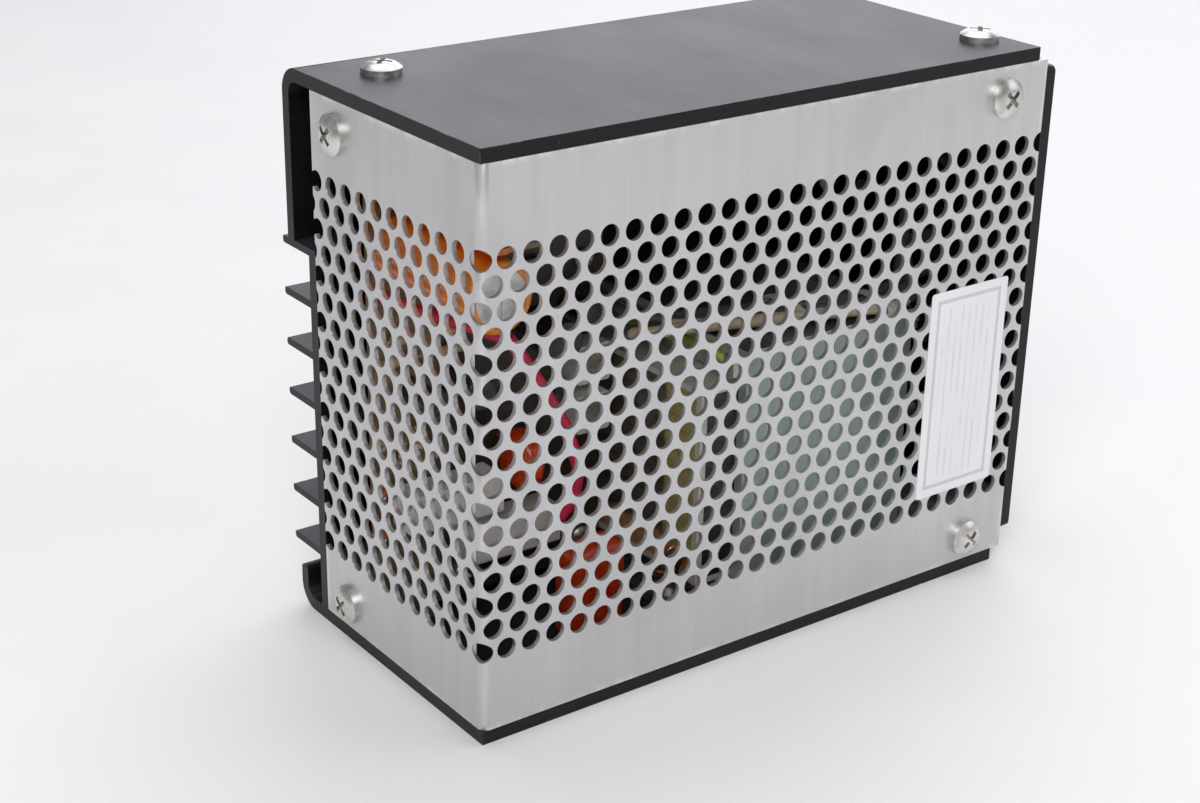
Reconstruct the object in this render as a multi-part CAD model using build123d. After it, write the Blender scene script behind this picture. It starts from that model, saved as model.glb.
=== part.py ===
from build123d import *
import math
import os

# Linear DIN-rail power supply: a finned aluminium chassis, a folded perforated cover, and the
# transformer, circuit board and heat-sunk transistors inside.
# Working frame, in millimetres: X runs along the chassis from the cover's short face,
# Y runs back from the cover's long face, Z runs up from the chassis underside.
# save() moves every piece so that the origin is the middle of the chassis underside.

# ---- chassis ----
CHASSIS_LENGTH = 155.4
CHASSIS_DEPTH = 79.5
CHASSIS_HEIGHT = 133.35
FLANGE = 3.1
WEB = 2.9
BASE_FACE = 67.0
BASE_THICKNESS = 3.0
FIN_TIP = 82.0
FIN_THICKNESS = 1.8
FIN_PITCH = 12.5
FIN_COUNT = 7
TOP_FIN_Z = 92.4
LIP_HEIGHT = 10.5
CORNER_RADIUS = 6.0
WEB_HOLE_X = (20.2, 135.2)
WEB_HOLE_Z = 112.0
WEB_HOLE_RADIUS = 2.25

# ---- perforated cover ----
COVER_LENGTH = 158.4
COVER_DEPTH = 67.0
COVER_GAP = 0.1
SHEET = 1.2
BEND_RADIUS = 2.0
HOLE_DIAMETER = 4.7625
HOLE_PITCH = 6.35
ROW_PITCH = HOLE_PITCH * math.sqrt(3) / 2
ROW_COUNT = 17
FIRST_ROW_Z = 22.17
LONG_FACE_STARTS = (6.21, 3.03)
SHORT_FACE_STARTS = (8.23, 5.05)

# ---- fasteners ----
COVER_HEAD_RADIUS = 4.65
COVER_HEAD_HEIGHT = 2.5
COVER_SHANK_RADIUS = 2.4
FLAT_HEAD_HEIGHT = 2.4
FLUSH_RECESS = 0.2
SMALL_HEAD_RADIUS = 3.2
SMALL_HEAD_HEIGHT = 2.1
SMALL_SHANK_RADIUS = 1.5
INNER_SCREW = (2.7, 1.8, SMALL_SHANK_RADIUS)

# ---- corner blocks: behind the cover's short edge, and in front at the panel end ----
REAR_BLOCK_X = (1.3, 20.0)
REAR_BLOCK_Y = (50.0, 66.0)
FRONT_BLOCK_X = (138.0, 158.4)
FRONT_BLOCK_Y = (1.3, 20.0)
BLOCK_HEIGHT = 15.6
REAR_FLANGE_SCREW = (14.3, 60.5)
FRONT_FLANGE_SCREW = (148.5, 13.0)
SHORT_FACE_SCREW_Y = 56.4
LONG_FACE_SCREW_X = 144.9
COVER_SCREW_INSET = 10.0

# ---- terminal end panel ----
PANEL_X = 158.5
PANEL_THICKNESS = 3.1
PANEL_OUT = PANEL_X + PANEL_THICKNESS
PANEL_Y = (0.2, 70.0)
PANEL_Z = (7.6, 128.1)
PANEL_SCREW_Y = 10.0
PANEL_BRACKET_Z = (13.0, 79.0)
PANEL_BRACKET_WIDTH = 13.0
PANEL_BRACKET_SCREW_Y = 56.0
BRACKET_LEG_X = 148.0
TERMINAL_COUNT = 7
TERMINAL_PITCH = 9.525
TERMINAL_Y = (22.0, 46.0)
TERMINAL_MIDDLE_Z = 67.85
TERMINAL_BASE = 7.5
TERMINAL_BARRIER = 14.0
TERMINAL_PLATE = 0.8
INDICATOR_Y = 58.0
INDICATOR_Z = 104.0

# ---- circuit board ----
BOARD_X = (2.5, 65.5)
BOARD_FACE = 48.0
BOARD_BACK = 49.6
BOARD_Z = (8.0, 124.0)
STANDOFF_SPOTS = ((26.0, 14.0), (60.0, 14.0), (28.0, 86.0), (60.0, 86.0))
TRIMMER_SPOTS = ((58.7, 62.0), (58.7, 49.4))
TRIMMER_SIZE = 9.6
TRIMMER_HEIGHT = 6.6
ROTOR_RADIUS = 3.1
CAPACITOR_RADIUS = 8.0
CAPACITOR_FRONT = 9.0
CAPACITOR_SPOTS = ((10.9, 97.8), (11.6, 114.8))
SMALL_CAPACITORS = (
    (24.0, 64.0, 4.0, 12.0),
    (12.0, 64.0, 3.2, 11.0),
    (46.0, 72.0, 5.0, 13.0),
    (56.2, 76.0, 3.2, 11.0),
)
FUSE_X = 31.0
FUSE_Z = (100.0, 120.0)

# ---- power semiconductors on the heat sink ----
TRANSISTOR_SPOTS = ((34.0, 34.0), (34.0, 64.0))
TRANSISTOR_SCREW_SPREAD = 15.1
RECTIFIER_SPOT = (14.5, 49.0)
RECTIFIER_SIZE = 13.0
RECTIFIER_TAB = 4.2

# ---- transformer ----
CORE_X = (79.0, 131.0)
CORE_Y = (10.0, 66.0)
CORE_Z = (4.7, 70.7)
CORE_LEG = 10.0
CORE_YOKE = 8.0
COIL_BULGE = 11.0
COIL_LEFT_Y = (12.5, 63.5)
COIL_RIGHT_Y = (21.0, 63.5)
COIL_POST = 1.8
BOBBIN_WALL = 1.4
FOOT = 1.6
CORE_BOLT_RADIUS = 1.75
CORE_BOLT_FLATS = 6.0

# ---- leads ----
RED_LEAD_PATH = (
    (6, BOARD_FACE, 87.0),
    (6, 43.5, 87.0),
    (13, 43.0, 83.5),
    (21, 40, 80.5),
    (28.6, 32, 77.5),
    (35.3, 30, 66.0),
    (42, 29.6, 54.5),
    (46.4, 30, 43),
    (46, 31.5, 34),
    (44, 34, 29),
)
LEAD_RADIUS = 1.5
LEAD_Y = (24.0, 28.0, 32.0)
LEAD_START_Z = (72.0, 76.0, 80.0)
LEAD_TERMINALS = (4, 5, 6)

# ---- clip for a 35 mm rail that runs along Z ----
RAIL_MIDDLE_X = 77.7
RAIL_WIDTH = 35.0
BRACKET_X = (45.0, 136.0)
BRACKET_Y = (82.2, 84.2)
BRACKET_Z = (28.0, 109.0)
BRACKET_SCREW_X = (52.0, 128.0)
LOW_SCREW_Z = 36.15
HIGH_SCREW_Z = 104.0
LATCH_MIDDLE_Z = 65.0
LATCH_WIDTH = 24.0
LATCH_Y = (84.45, 86.65)
LATCH_END_X = 150.0
SPRING_WINDOW_X = (104.0, 118.0)
SPRING_WINDOW_WIDTH = 5.4
SPRING_RADIUS = 1.95
SPRING_WIRE = 0.25
SPRING_TURNS = 8

ORIGIN_SHIFT = Location((-CHASSIS_LENGTH / 2, -CHASSIS_DEPTH / 2, 0))
CHASSIS_TOP = CHASSIS_HEIGHT - FLANGE
PARTS_FOLDER = "parts"


# ---- helpers ----
def save(name, *pieces):
    """Write one sub-part as a STEP file, moved to the frame's origin."""
    solids = [solid for piece in pieces for solid in piece.solids()]
    shape = solids[0] if len(solids) == 1 else Compound(solids)
    export_step(shape.moved(ORIGIN_SHIFT), f"{PARTS_FOLDER}/{name}.step")


def block(x, y, z):
    """A plain box from three (low, high) pairs."""
    box = Box(x[1] - x[0], y[1] - y[0], z[1] - z[0], align=(Align.MIN, Align.MIN, Align.MIN))
    return box.moved(Location((x[0], y[0], z[0])))


def rod(start, direction, radius, length):
    """A cylinder from start along direction."""
    seat = Plane(origin=start, z_dir=direction)
    return seat * Cylinder(radius, length, align=(Align.CENTER, Align.CENTER, Align.MIN))


def ring(start, direction, radius, bore, length):
    return rod(start, direction, radius, length) - rod(start, direction, bore, length)


def area(u, v):
    """A rectangle in a sketch from two (low, high) pairs."""
    return Rectangle(u[1] - u[0], v[1] - v[0], align=(Align.MIN, Align.MIN)).moved(Location((u[0], v[0])))


def rounded(sketch, corners, radius):
    """Round the sketch's corners that lie nearest to the given points."""
    nearest = [sketch.vertices().sort_by_distance((u, v, 0))[0] for u, v in corners]
    return fillet(nearest, radius)


def pan_screw(seat_point, out, head_radius, head_height, shank_radius, length):
    """A cross-recessed pan-head screw: out points from the seat to the head's top."""
    dome = head_height * 0.45
    profile = Polyline((0, 0), (head_radius, 0), (head_radius, head_height - dome))
    profile += ThreePointArc(
        (head_radius, head_height - dome),
        (head_radius * 0.72, head_height - dome * 0.22),
        (0, head_height),
    )
    profile += Line((0, head_height), (0, 0))
    head = revolve(Plane.XZ * make_face(profile), Axis.Z)
    arm = head_radius * 1.05
    slot = head_radius * 0.24
    depth = head_height * 0.7
    for turn in (45, 135):
        cutter = Box(arm, slot, depth * 2).rotate(Axis.Z, turn)
        head -= cutter.moved(Location((0, 0, head_height)))
    shank = Cylinder(shank_radius, length, align=(Align.CENTER, Align.CENTER, Align.MAX))
    return Plane(origin=seat_point, z_dir=out) * (head + shank)


def flat_screw(seat_point, out, head_radius, head_height, shank_radius, length):
    """A countersunk screw whose flat top is flush with seat_point."""
    cone = Cone(shank_radius, head_radius, head_height, align=(Align.CENTER, Align.CENTER, Align.MAX))
    shank = Cylinder(shank_radius, length, align=(Align.CENTER, Align.CENTER, Align.MAX))
    screw = cone + shank
    for turn in (45, 135):
        screw -= Box(head_radius * 1.05, head_radius * 0.24, 2.4).rotate(Axis.Z, turn)
    return Plane(origin=seat_point, z_dir=out) * screw


def hexagon_bar(start, direction, across_flats, length):
    face = RegularPolygon(across_flats / 2, 6, major_radius=False)
    return Plane(origin=start, z_dir=direction) * extrude(face, length)


def wire(points, radius, bend):
    """A lead of round section along straight runs joined by tangent arcs."""
    path = FilletPolyline(*points, radius=bend)
    section = Plane(origin=path @ 0, z_dir=path % 0) * Circle(radius)
    return sweep(section, path=path)


# ---- chassis: one extruded profile with its fins ----
def chassis_profile():
    web_face = CHASSIS_DEPTH - WEB
    fin_bottom = TOP_FIN_Z - FIN_THICKNESS / 2
    profile = area((0, CHASSIS_DEPTH), (0, FLANGE))
    profile += area((0, CHASSIS_DEPTH), (CHASSIS_TOP, CHASSIS_HEIGHT))
    profile += area((web_face, CHASSIS_DEPTH), (fin_bottom, CHASSIS_HEIGHT))
    profile += area((web_face, CHASSIS_DEPTH), (0, LIP_HEIGHT))
    profile += area((BASE_FACE, BASE_FACE + BASE_THICKNESS), (0, fin_bottom + FIN_THICKNESS))
    for index in range(FIN_COUNT):
        low = fin_bottom - index * FIN_PITCH
        profile += area((BASE_FACE + 1, FIN_TIP), (low, low + FIN_THICKNESS))
    fin_levels = [fin_bottom - index * FIN_PITCH for index in range(FIN_COUNT)]
    tips = [(FIN_TIP, level + side) for level in fin_levels for side in (0, FIN_THICKNESS)]
    outer = [(CHASSIS_DEPTH, 0), (CHASSIS_DEPTH, CHASSIS_HEIGHT)]
    inner = [(web_face, FLANGE), (web_face, CHASSIS_TOP)]
    profile = rounded(profile, tips, 0.7)
    profile = rounded(profile, [(CHASSIS_DEPTH, LIP_HEIGHT), (web_face, LIP_HEIGHT)], 1.2)
    profile = rounded(profile, outer, CORNER_RADIUS)
    return rounded(profile, inner, CORNER_RADIUS - FLANGE)


def make_chassis():
    chassis = extrude(Plane.YZ * chassis_profile(), CHASSIS_LENGTH)
    for x, y in (REAR_FLANGE_SCREW, FRONT_FLANGE_SCREW):
        chassis -= rod((x, y, CHASSIS_HEIGHT), (0, 0, -1), COVER_SHANK_RADIUS + 0.15, FLANGE)
        chassis -= rod((x, y, 0), (0, 0, 1), COVER_SHANK_RADIUS, FLANGE)
        chassis -= rod((x, y, 0), (0, 0, 1), COVER_HEAD_RADIUS, FLUSH_RECESS)
        seat = (Align.CENTER, Align.CENTER, Align.MIN)
        sink = Cone(COVER_HEAD_RADIUS, COVER_SHANK_RADIUS, FLAT_HEAD_HEIGHT, align=seat)
        chassis -= sink.moved(Location((x, y, FLUSH_RECESS)))
    for x in BRACKET_SCREW_X:
        chassis -= rod((x, 70.5, LOW_SCREW_Z), (0, -1, 0), 2.0, 3.0)
        chassis -= rod((x, 80, HIGH_SCREW_Z), (0, -1, 0), 2.0, 3.2)
    for x in WEB_HOLE_X:
        chassis -= rod((x, 81, WEB_HOLE_Z), (0, -1, 0), WEB_HOLE_RADIUS, 6)
    for x, z in STANDOFF_SPOTS:
        chassis -= rod((x, BASE_FACE, z), (0, 1, 0), SMALL_SHANK_RADIUS, 2.4)
    for spot in TRANSISTOR_SPOTS:
        for x, z in transistor_screw_spots(spot):
            chassis -= rod((x, BASE_FACE, z), (0, 1, 0), SMALL_SHANK_RADIUS, 2.4)
    for x, z in (RECTIFIER_SPOT, *panel_bracket_rivets()):
        chassis -= rod((x, BASE_FACE, z), (0, 1, 0), SMALL_SHANK_RADIUS, 2.4)
    for x, y in foot_screw_spots():
        chassis -= rod((x, y, FLANGE), (0, 0, -1), SMALL_SHANK_RADIUS, 2.4)
    return chassis


# ---- perforated cover: one folded sheet ----
def hole_points(starts, limit):
    """Centres of the staggered holes on one face, as (distance from the fold, height)."""
    points = []
    for row in range(ROW_COUNT):
        start = starts[row % 2]
        count = math.ceil((limit + HOLE_DIAMETER / 2 - start) / HOLE_PITCH)
        points += [(start + i * HOLE_PITCH, FIRST_ROW_Z + row * ROW_PITCH) for i in range(count)]
    return points


def cover_face(length, starts):
    """One flat face of the cover in its own plane, holes included."""
    face = area((BEND_RADIUS, length), (FLANGE + COVER_GAP, CHASSIS_TOP - COVER_GAP))
    holes = [Circle(HOLE_DIAMETER / 2).moved(Location(spot)) for spot in hole_points(starts, length)]
    return face - (Sketch() + holes)


def make_cover():
    low = FLANGE + COVER_GAP
    height = CHASSIS_TOP - COVER_GAP - low
    long_face = extrude(Plane.XZ * cover_face(COVER_LENGTH, LONG_FACE_STARTS), SHEET)
    long_face = long_face.moved(Location((0, SHEET, 0)))
    short_face = extrude(Plane.YZ * cover_face(COVER_DEPTH, SHORT_FACE_STARTS), SHEET)
    fold = extrude(Circle(BEND_RADIUS) - Circle(BEND_RADIUS - SHEET), height)
    fold = fold.moved(Location((BEND_RADIUS, BEND_RADIUS, low)))
    fold &= block((0, BEND_RADIUS), (0, BEND_RADIUS), (low, low + height))
    for row in range(0, ROW_COUNT, 2):
        centre = (-1.2, -0.6, FIRST_ROW_Z + row * ROW_PITCH)
        cutter = rod(centre, (1, 1, 0), HOLE_DIAMETER / 2, 5)
        fold -= cutter
        long_face -= cutter
        short_face -= cutter
    for row in range(1, ROW_COUNT, 2):
        centre = (LONG_FACE_STARTS[1], -1, FIRST_ROW_Z + row * ROW_PITCH)
        fold -= rod(centre, (0, 1, 0), HOLE_DIAMETER / 2, 2.6)
    cover = long_face + fold + short_face
    for seat, into in cover_screw_seats():
        cover -= rod(seat, into, COVER_SHANK_RADIUS + 0.1, SHEET)
    return cover


def cover_screw_seats():
    """Seat point and inward direction of each screw that holds the cover."""
    seats = []
    for z in (COVER_SCREW_INSET - 0.5, CHASSIS_HEIGHT - COVER_SCREW_INSET - 0.6):
        seats.append(((0, SHORT_FACE_SCREW_Y, z), (1, 0, 0)))
        seats.append(((LONG_FACE_SCREW_X, 0, z), (0, 1, 0)))
    return seats


def make_corner_block(x, y, top):
    z = (CHASSIS_TOP - BLOCK_HEIGHT, CHASSIS_TOP) if top else (FLANGE, FLANGE + BLOCK_HEIGHT)
    body = chamfer(block(x, y, z).edges().filter_by(Axis.Z), 0.8)
    for spot in (REAR_FLANGE_SCREW, FRONT_FLANGE_SCREW):
        start = (*spot, CHASSIS_TOP if top else FLANGE)
        body -= rod(start, (0, 0, -1 if top else 1), COVER_SHANK_RADIUS, 8.0)
    for seat, into in cover_screw_seats():
        body -= rod(seat, into, COVER_SHANK_RADIUS, 8.6)
    for z_screw in panel_screw_heights():
        body -= rod((PANEL_X, PANEL_SCREW_Y, z_screw), (-1, 0, 0), SMALL_SHANK_RADIUS, 5.5)
    return body


def panel_screw_heights():
    return (COVER_SCREW_INSET + 2.5, CHASSIS_HEIGHT - COVER_SCREW_INSET - 2.5)


# ---- terminal end panel ----
def panel_bracket_rivets():
    return [(BRACKET_LEG_X + 3.5, low + PANEL_BRACKET_WIDTH / 2) for low in PANEL_BRACKET_Z]


def panel_bracket_screws():
    return [(PANEL_BRACKET_SCREW_Y, low + PANEL_BRACKET_WIDTH / 2) for low in PANEL_BRACKET_Z]


def terminal_heights():
    first = TERMINAL_MIDDLE_Z - (TERMINAL_COUNT - 1) / 2 * TERMINAL_PITCH
    return [first + index * TERMINAL_PITCH for index in range(TERMINAL_COUNT)]


def terminal_end_heights():
    reach = TERMINAL_COUNT / 2 * TERMINAL_PITCH + 4.0
    return (TERMINAL_MIDDLE_Z - reach, TERMINAL_MIDDLE_Z + reach)


def make_end_panel():
    panel = block((PANEL_X, PANEL_OUT), PANEL_Y, PANEL_Z)
    panel = fillet(panel.edges().filter_by(Axis.X), 1.5)
    middle_y = sum(TERMINAL_Y) / 2
    cuts = [(PANEL_SCREW_Y, z) for z in panel_screw_heights()]
    cuts += panel_bracket_screws()
    cuts += [(middle_y, z) for z in terminal_end_heights()]
    for y, z in cuts:
        panel -= rod((PANEL_X, y, z), (1, 0, 0), SMALL_SHANK_RADIUS, PANEL_THICKNESS)
    panel -= rod((PANEL_X, INDICATOR_Y, INDICATOR_Z), (1, 0, 0), 4.0, PANEL_THICKNESS)
    reach = TERMINAL_COUNT / 2 * TERMINAL_PITCH - 2
    slot = (TERMINAL_MIDDLE_Z - reach, TERMINAL_MIDDLE_Z + reach)
    return panel - block((PANEL_X, PANEL_OUT), (middle_y - 5, middle_y + 5), slot)


def make_panel_bracket(low):
    high = low + PANEL_BRACKET_WIDTH
    bracket = block((BRACKET_LEG_X, PANEL_X), (BASE_FACE - 2, BASE_FACE), (low, high))
    bracket += block((PANEL_X - 2, PANEL_X), (50.0, BASE_FACE), (low, high))
    for x, z in panel_bracket_rivets():
        bracket -= rod((x, BASE_FACE - 2, z), (0, 1, 0), SMALL_SHANK_RADIUS, 2)
    for y, z in panel_bracket_screws():
        bracket -= rod((PANEL_X - 2, y, z), (1, 0, 0), SMALL_SHANK_RADIUS, 2)
    return bracket


def make_terminal_block():
    low, high = terminal_end_heights()
    body = block((PANEL_OUT, PANEL_OUT + TERMINAL_BASE), TERMINAL_Y, (low - 4, high + 4))
    for index in range(TERMINAL_COUNT + 1):
        z = TERMINAL_MIDDLE_Z + (index - TERMINAL_COUNT / 2) * TERMINAL_PITCH
        rib = block((PANEL_OUT, PANEL_OUT + TERMINAL_BARRIER), TERMINAL_Y, (z - 0.8, z + 0.8))
        tops = rib.edges().filter_by(Axis.Z).group_by(Axis.X)[-1]
        body += fillet(tops, 2.0)
    middle_y = sum(TERMINAL_Y) / 2
    for z in terminal_heights():
        body -= rod((PANEL_OUT, middle_y, z), (1, 0, 0), 1.85, TERMINAL_BASE)
    for z in terminal_end_heights():
        body -= rod((PANEL_OUT, middle_y, z), (1, 0, 0), SMALL_SHANK_RADIUS, TERMINAL_BASE)
    return body


def make_terminal_plate(z):
    """A plated clamp plate with a turned-up end, under one terminal screw."""
    seat = PANEL_OUT + TERMINAL_BASE
    low, high = TERMINAL_Y
    plate = block((seat, seat + TERMINAL_PLATE), (low + 2, high - 3), (z - 3.6, z + 3.6))
    plate += block((seat, seat + 3.0), (low + 2, low + 2 + TERMINAL_PLATE), (z - 3.6, z + 3.6))
    return plate - rod((seat, sum(TERMINAL_Y) / 2, z), (1, 0, 0), 1.85, TERMINAL_PLATE)


def make_terminal_screw(z):
    seat = (PANEL_OUT + TERMINAL_BASE + TERMINAL_PLATE + 0.05, sum(TERMINAL_Y) / 2, z)
    return pan_screw(seat, (1, 0, 0), 3.1, 2.3, 1.75, 7.5)


# ---- clip for the rail ----
def make_din_bracket():
    y_face = BRACKET_Y[1]
    plate = block(BRACKET_X, BRACKET_Y, BRACKET_Z)
    plate = fillet(plate.edges().filter_by(Axis.Y), 4.0)
    wall_x = RAIL_MIDDLE_X - RAIL_WIDTH / 2 - 0.5
    for z in (38.0, 76.0):
        hook = block((wall_x - 2, wall_x), (y_face, y_face + 3.9), (z, z + 16))
        hook += block((wall_x - 2, wall_x + 2.8), (y_face + 1.9, y_face + 3.9), (z, z + 16))
        plate += hook
    half = SPRING_WINDOW_WIDTH / 2
    plate -= block(SPRING_WINDOW_X, BRACKET_Y, (LATCH_MIDDLE_Z - half, LATCH_MIDDLE_Z + half))
    for x in BRACKET_SCREW_X:
        for z in (LOW_SCREW_Z, HIGH_SCREW_Z):
            plate -= rod((x, BRACKET_Y[0], z), (0, 1, 0), 2.0, 2)
    for x, z in guide_rivet_spots():
        plate -= rod((x, BRACKET_Y[0], z), (0, 1, 0), 1.5, 2)
    return plate


def guide_rivet_spots():
    return [(125.5, LATCH_MIDDLE_Z + side * 18.0) for side in (-1, 1)]


def make_latch():
    """The sliding jaw: a flat bar with a hooked end, a spring window and a pull slot."""
    edge = RAIL_MIDDLE_X + RAIL_WIDTH / 2
    half = LATCH_WIDTH / 2
    z = (LATCH_MIDDLE_Z - half, LATCH_MIDDLE_Z + half)
    bar = block((edge + 0.5, LATCH_END_X), LATCH_Y, z)
    bar = fillet(bar.edges().filter_by(Axis.Y).group_by(Axis.X)[-1], 3.0)
    finger = block((edge - 2.8, edge + 3), (BRACKET_Y[1] + 1.6, BRACKET_Y[1] + 3.9), z)
    finger = chamfer(finger.edges().filter_by(Axis.Z).group_by(Axis.Y)[-1].sort_by(Axis.X)[0], 1.6)
    window = SPRING_WINDOW_WIDTH / 2
    bar = bar + finger
    bar -= block(SPRING_WINDOW_X, LATCH_Y, (LATCH_MIDDLE_Z - window, LATCH_MIDDLE_Z + window))
    pull_x = (LATCH_END_X - 8, LATCH_END_X - 4.5)
    return bar - block(pull_x, LATCH_Y, (LATCH_MIDDLE_Z - 6, LATCH_MIDDLE_Z + 6))


def make_latch_guide():
    """A strap that crosses the latch and is riveted to the bracket on both sides."""
    x = (119.5, 131.5)
    y = BRACKET_Y[1]
    inside = LATCH_WIDTH / 2 + 0.4
    outside = inside + 1.5
    strap = block(x, (y + 2.75, y + 4.25), (LATCH_MIDDLE_Z - outside, LATCH_MIDDLE_Z + outside))
    for side in (-1, 1):
        wall = sorted((LATCH_MIDDLE_Z + side * inside, LATCH_MIDDLE_Z + side * outside))
        foot = sorted((LATCH_MIDDLE_Z + side * inside, LATCH_MIDDLE_Z + side * 22.0))
        strap += block(x, (y, y + 4.25), wall)
        strap += block(x, (y, y + 1.5), foot)
    for rivet_x, z in guide_rivet_spots():
        strap -= rod((rivet_x, y, z), (0, 1, 0), 1.5, 1.5)
    return strap


def make_spring():
    """The latch's return spring, along X between the two windows' opposite ends."""
    low, high = SPRING_WINDOW_X
    length = high - low - 2 * SPRING_WIRE - 0.1
    coil = Helix(length / SPRING_TURNS, length, SPRING_RADIUS)
    section = Plane(origin=coil @ 0, z_dir=coil % 0) * Circle(SPRING_WIRE)
    spring = sweep(section, path=coil, is_frenet=True)
    middle_y = (BRACKET_Y[0] + LATCH_Y[1]) / 2
    start = (low + SPRING_WIRE + 0.05, middle_y, LATCH_MIDDLE_Z)
    seat = Plane(origin=start, x_dir=(0, 1, 0), z_dir=(1, 0, 0))
    return seat * spring


# ---- circuit board and what stands on it ----
def make_board():
    board = block(BOARD_X, (BOARD_FACE, BOARD_BACK), BOARD_Z)
    for x, z in STANDOFF_SPOTS:
        board -= rod((x, BOARD_FACE, z), (0, 1, 0), SMALL_SHANK_RADIUS, 2)
    return board


def make_standoff(x, z):
    body = hexagon_bar((x, BOARD_BACK, z), (0, 1, 0), 6.0, BASE_FACE - BOARD_BACK)
    body += rod((x, BASE_FACE, z), (0, 1, 0), SMALL_SHANK_RADIUS, 2.2)
    return body - rod((x, BOARD_BACK, z), (0, 1, 0), SMALL_SHANK_RADIUS, 6)


def make_capacitor_can(x, z):
    """An aluminium can with a pressure-vent cross in its front end."""
    length = BOARD_FACE - CAPACITOR_FRONT
    can = rod((x, CAPACITOR_FRONT, z), (0, 1, 0), CAPACITOR_RADIUS - 0.35, length)
    can = fillet(can.edges().group_by(Axis.Y)[0], 1.2)
    for turn in (0, 90):
        vent = Box(9.0, 0.6, 0.5).rotate(Axis.Y, turn)
        can -= vent.moved(Location((x, CAPACITOR_FRONT, z)))
    return can


def make_capacitor_sleeve(x, z):
    """The shrunk plastic sleeve, turned over the can's front edge."""
    start = (x, CAPACITOR_FRONT - 0.3, z)
    inner = CAPACITOR_RADIUS - 0.35
    length = BOARD_FACE - CAPACITOR_FRONT - 1.0
    sleeve = ring((x, CAPACITOR_FRONT + 1.5, z), (0, 1, 0), CAPACITOR_RADIUS, inner, length - 1.5)
    lip = rod(start, (0, 1, 0), CAPACITOR_RADIUS, 1.8) - rod(start, (0, 1, 0), inner - 1.4, 1.8)
    lip = fillet(lip.edges().group_by(Axis.Y)[0].sort_by(SortBy.RADIUS)[-1], 1.0)
    return sleeve + (lip - make_capacitor_can(x, z))


def make_trimmer_body(x, z):
    half = TRIMMER_SIZE / 2
    front = BOARD_FACE - TRIMMER_HEIGHT
    body = block((x - half, x + half), (front, BOARD_FACE), (z - half, z + half))
    body = fillet(body.edges().filter_by(Axis.Y), 0.8)
    return body - rod((x, front, z), (0, 1, 0), ROTOR_RADIUS + 0.08, 2.0)


def make_trimmer_rotor(x, z):
    front = BOARD_FACE - TRIMMER_HEIGHT - 0.4
    rotor = rod((x, front, z), (0, 1, 0), ROTOR_RADIUS, 2.3)
    slot = Box(ROTOR_RADIUS * 2.2, 1.6, 0.9).rotate(Axis.Y, 35)
    return rotor - slot.moved(Location((x, front, z)))


def make_ceramic_resistor(x, z):
    """A white ceramic-cased power resistor that lies along X, held off the board by its legs."""
    body = block((x, x + 24), (BOARD_FACE - 11.5, BOARD_FACE - 2), (z, z + 9.5))
    body = chamfer(body.edges().filter_by(Axis.X), 0.7)
    for leg in (x + 2.5, x + 21.5):
        body += rod((leg, BOARD_FACE - 2, z + 4.75), (0, 1, 0), 0.4, 2)
    return body


def make_disc_part(x, z, radius, thickness):
    """A dipped disc standing on edge on two legs."""
    middle = BOARD_FACE - 2.5 - radius
    disc = rod((x - thickness / 2, middle, z), (1, 0, 0), radius, thickness)
    disc = fillet(disc.edges().filter_by(GeomType.CIRCLE), thickness * 0.4)
    for side in (-2.5, 2.5):
        disc += rod((x, BOARD_FACE, z + side), (0, -1, 0), 0.4, 4)
    return disc


def make_film_capacitor():
    body = block((37.5, 53.0), (19.0, 28.0), (FLANGE + 0.2, 27.0))
    return fillet(body.edges(), 2.5)


def make_small_capacitor(x, z, radius, height):
    can = rod((x, BOARD_FACE - height, z), (0, 1, 0), radius, height)
    return fillet(can.edges().group_by(Axis.Y)[0], 0.6)


def make_axial_resistor(x, z):
    body = rod((x - 3.2, BOARD_FACE - 1.6, z), (1, 0, 0), 1.2, 6.4)
    body = fillet(body.edges().filter_by(GeomType.CIRCLE), 0.5)
    for side in (-1, 1):
        body += rod((x + side * 4.4, BOARD_FACE - 1.6, z), (-side, 0, 0), 0.3, 1.4)
        body += rod((x + side * 4.4, BOARD_FACE - 1.9, z), (0, 1, 0), 0.3, 1.9)
    return body


def make_chip(x, z):
    """A fourteen-pin chip with its pins."""
    body = block((x, x + 6.4), (BOARD_FACE - 4.4, BOARD_FACE - 0.8), (z, z + 19.3))
    body = chamfer(body.edges().filter_by(Axis.Z), 0.5)
    for side in (x - 0.6, x + 6.4):
        for pin in range(7):
            low = z + 1.6 + pin * 2.54
            body += block((side, side + 0.6), (BOARD_FACE - 2.6, BOARD_FACE), (low, low + 0.9))
    return body


def make_fuse_clip(low):
    clip = block((FUSE_X - 3.3, FUSE_X + 3.3), (BOARD_FACE - 1.0, BOARD_FACE), (low, low + 5))
    for side in (FUSE_X - 3.3, FUSE_X + 2.7):
        clip += block((side, side + 0.6), (BOARD_FACE - 8, BOARD_FACE), (low, low + 5))
    return clip


def make_fuse():
    low, high = FUSE_Z
    axis_y = BOARD_FACE - 4.2
    tube = rod((FUSE_X, axis_y, low), (0, 0, 1), 2.4, high - low)
    caps = [rod((FUSE_X, axis_y, z), (0, 0, 1), 2.65, 5) for z in (low, high - 5)]
    return tube + caps[0] + caps[1]


# ---- transistors and rectifier ----
def transistor_screw_spots(spot):
    x, z = spot
    return [(x - TRANSISTOR_SCREW_SPREAD, z), (x + TRANSISTOR_SCREW_SPREAD, z)]


def transistor_outline(spot, grow):
    x, z = spot
    ends = Sketch() + [Circle(4.0 + grow).moved(Location((u, z))) for u, _ in transistor_screw_spots(spot)]
    return make_hull((ends + Circle(12.5 + grow).moved(Location((x, z)))).edges())


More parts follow.
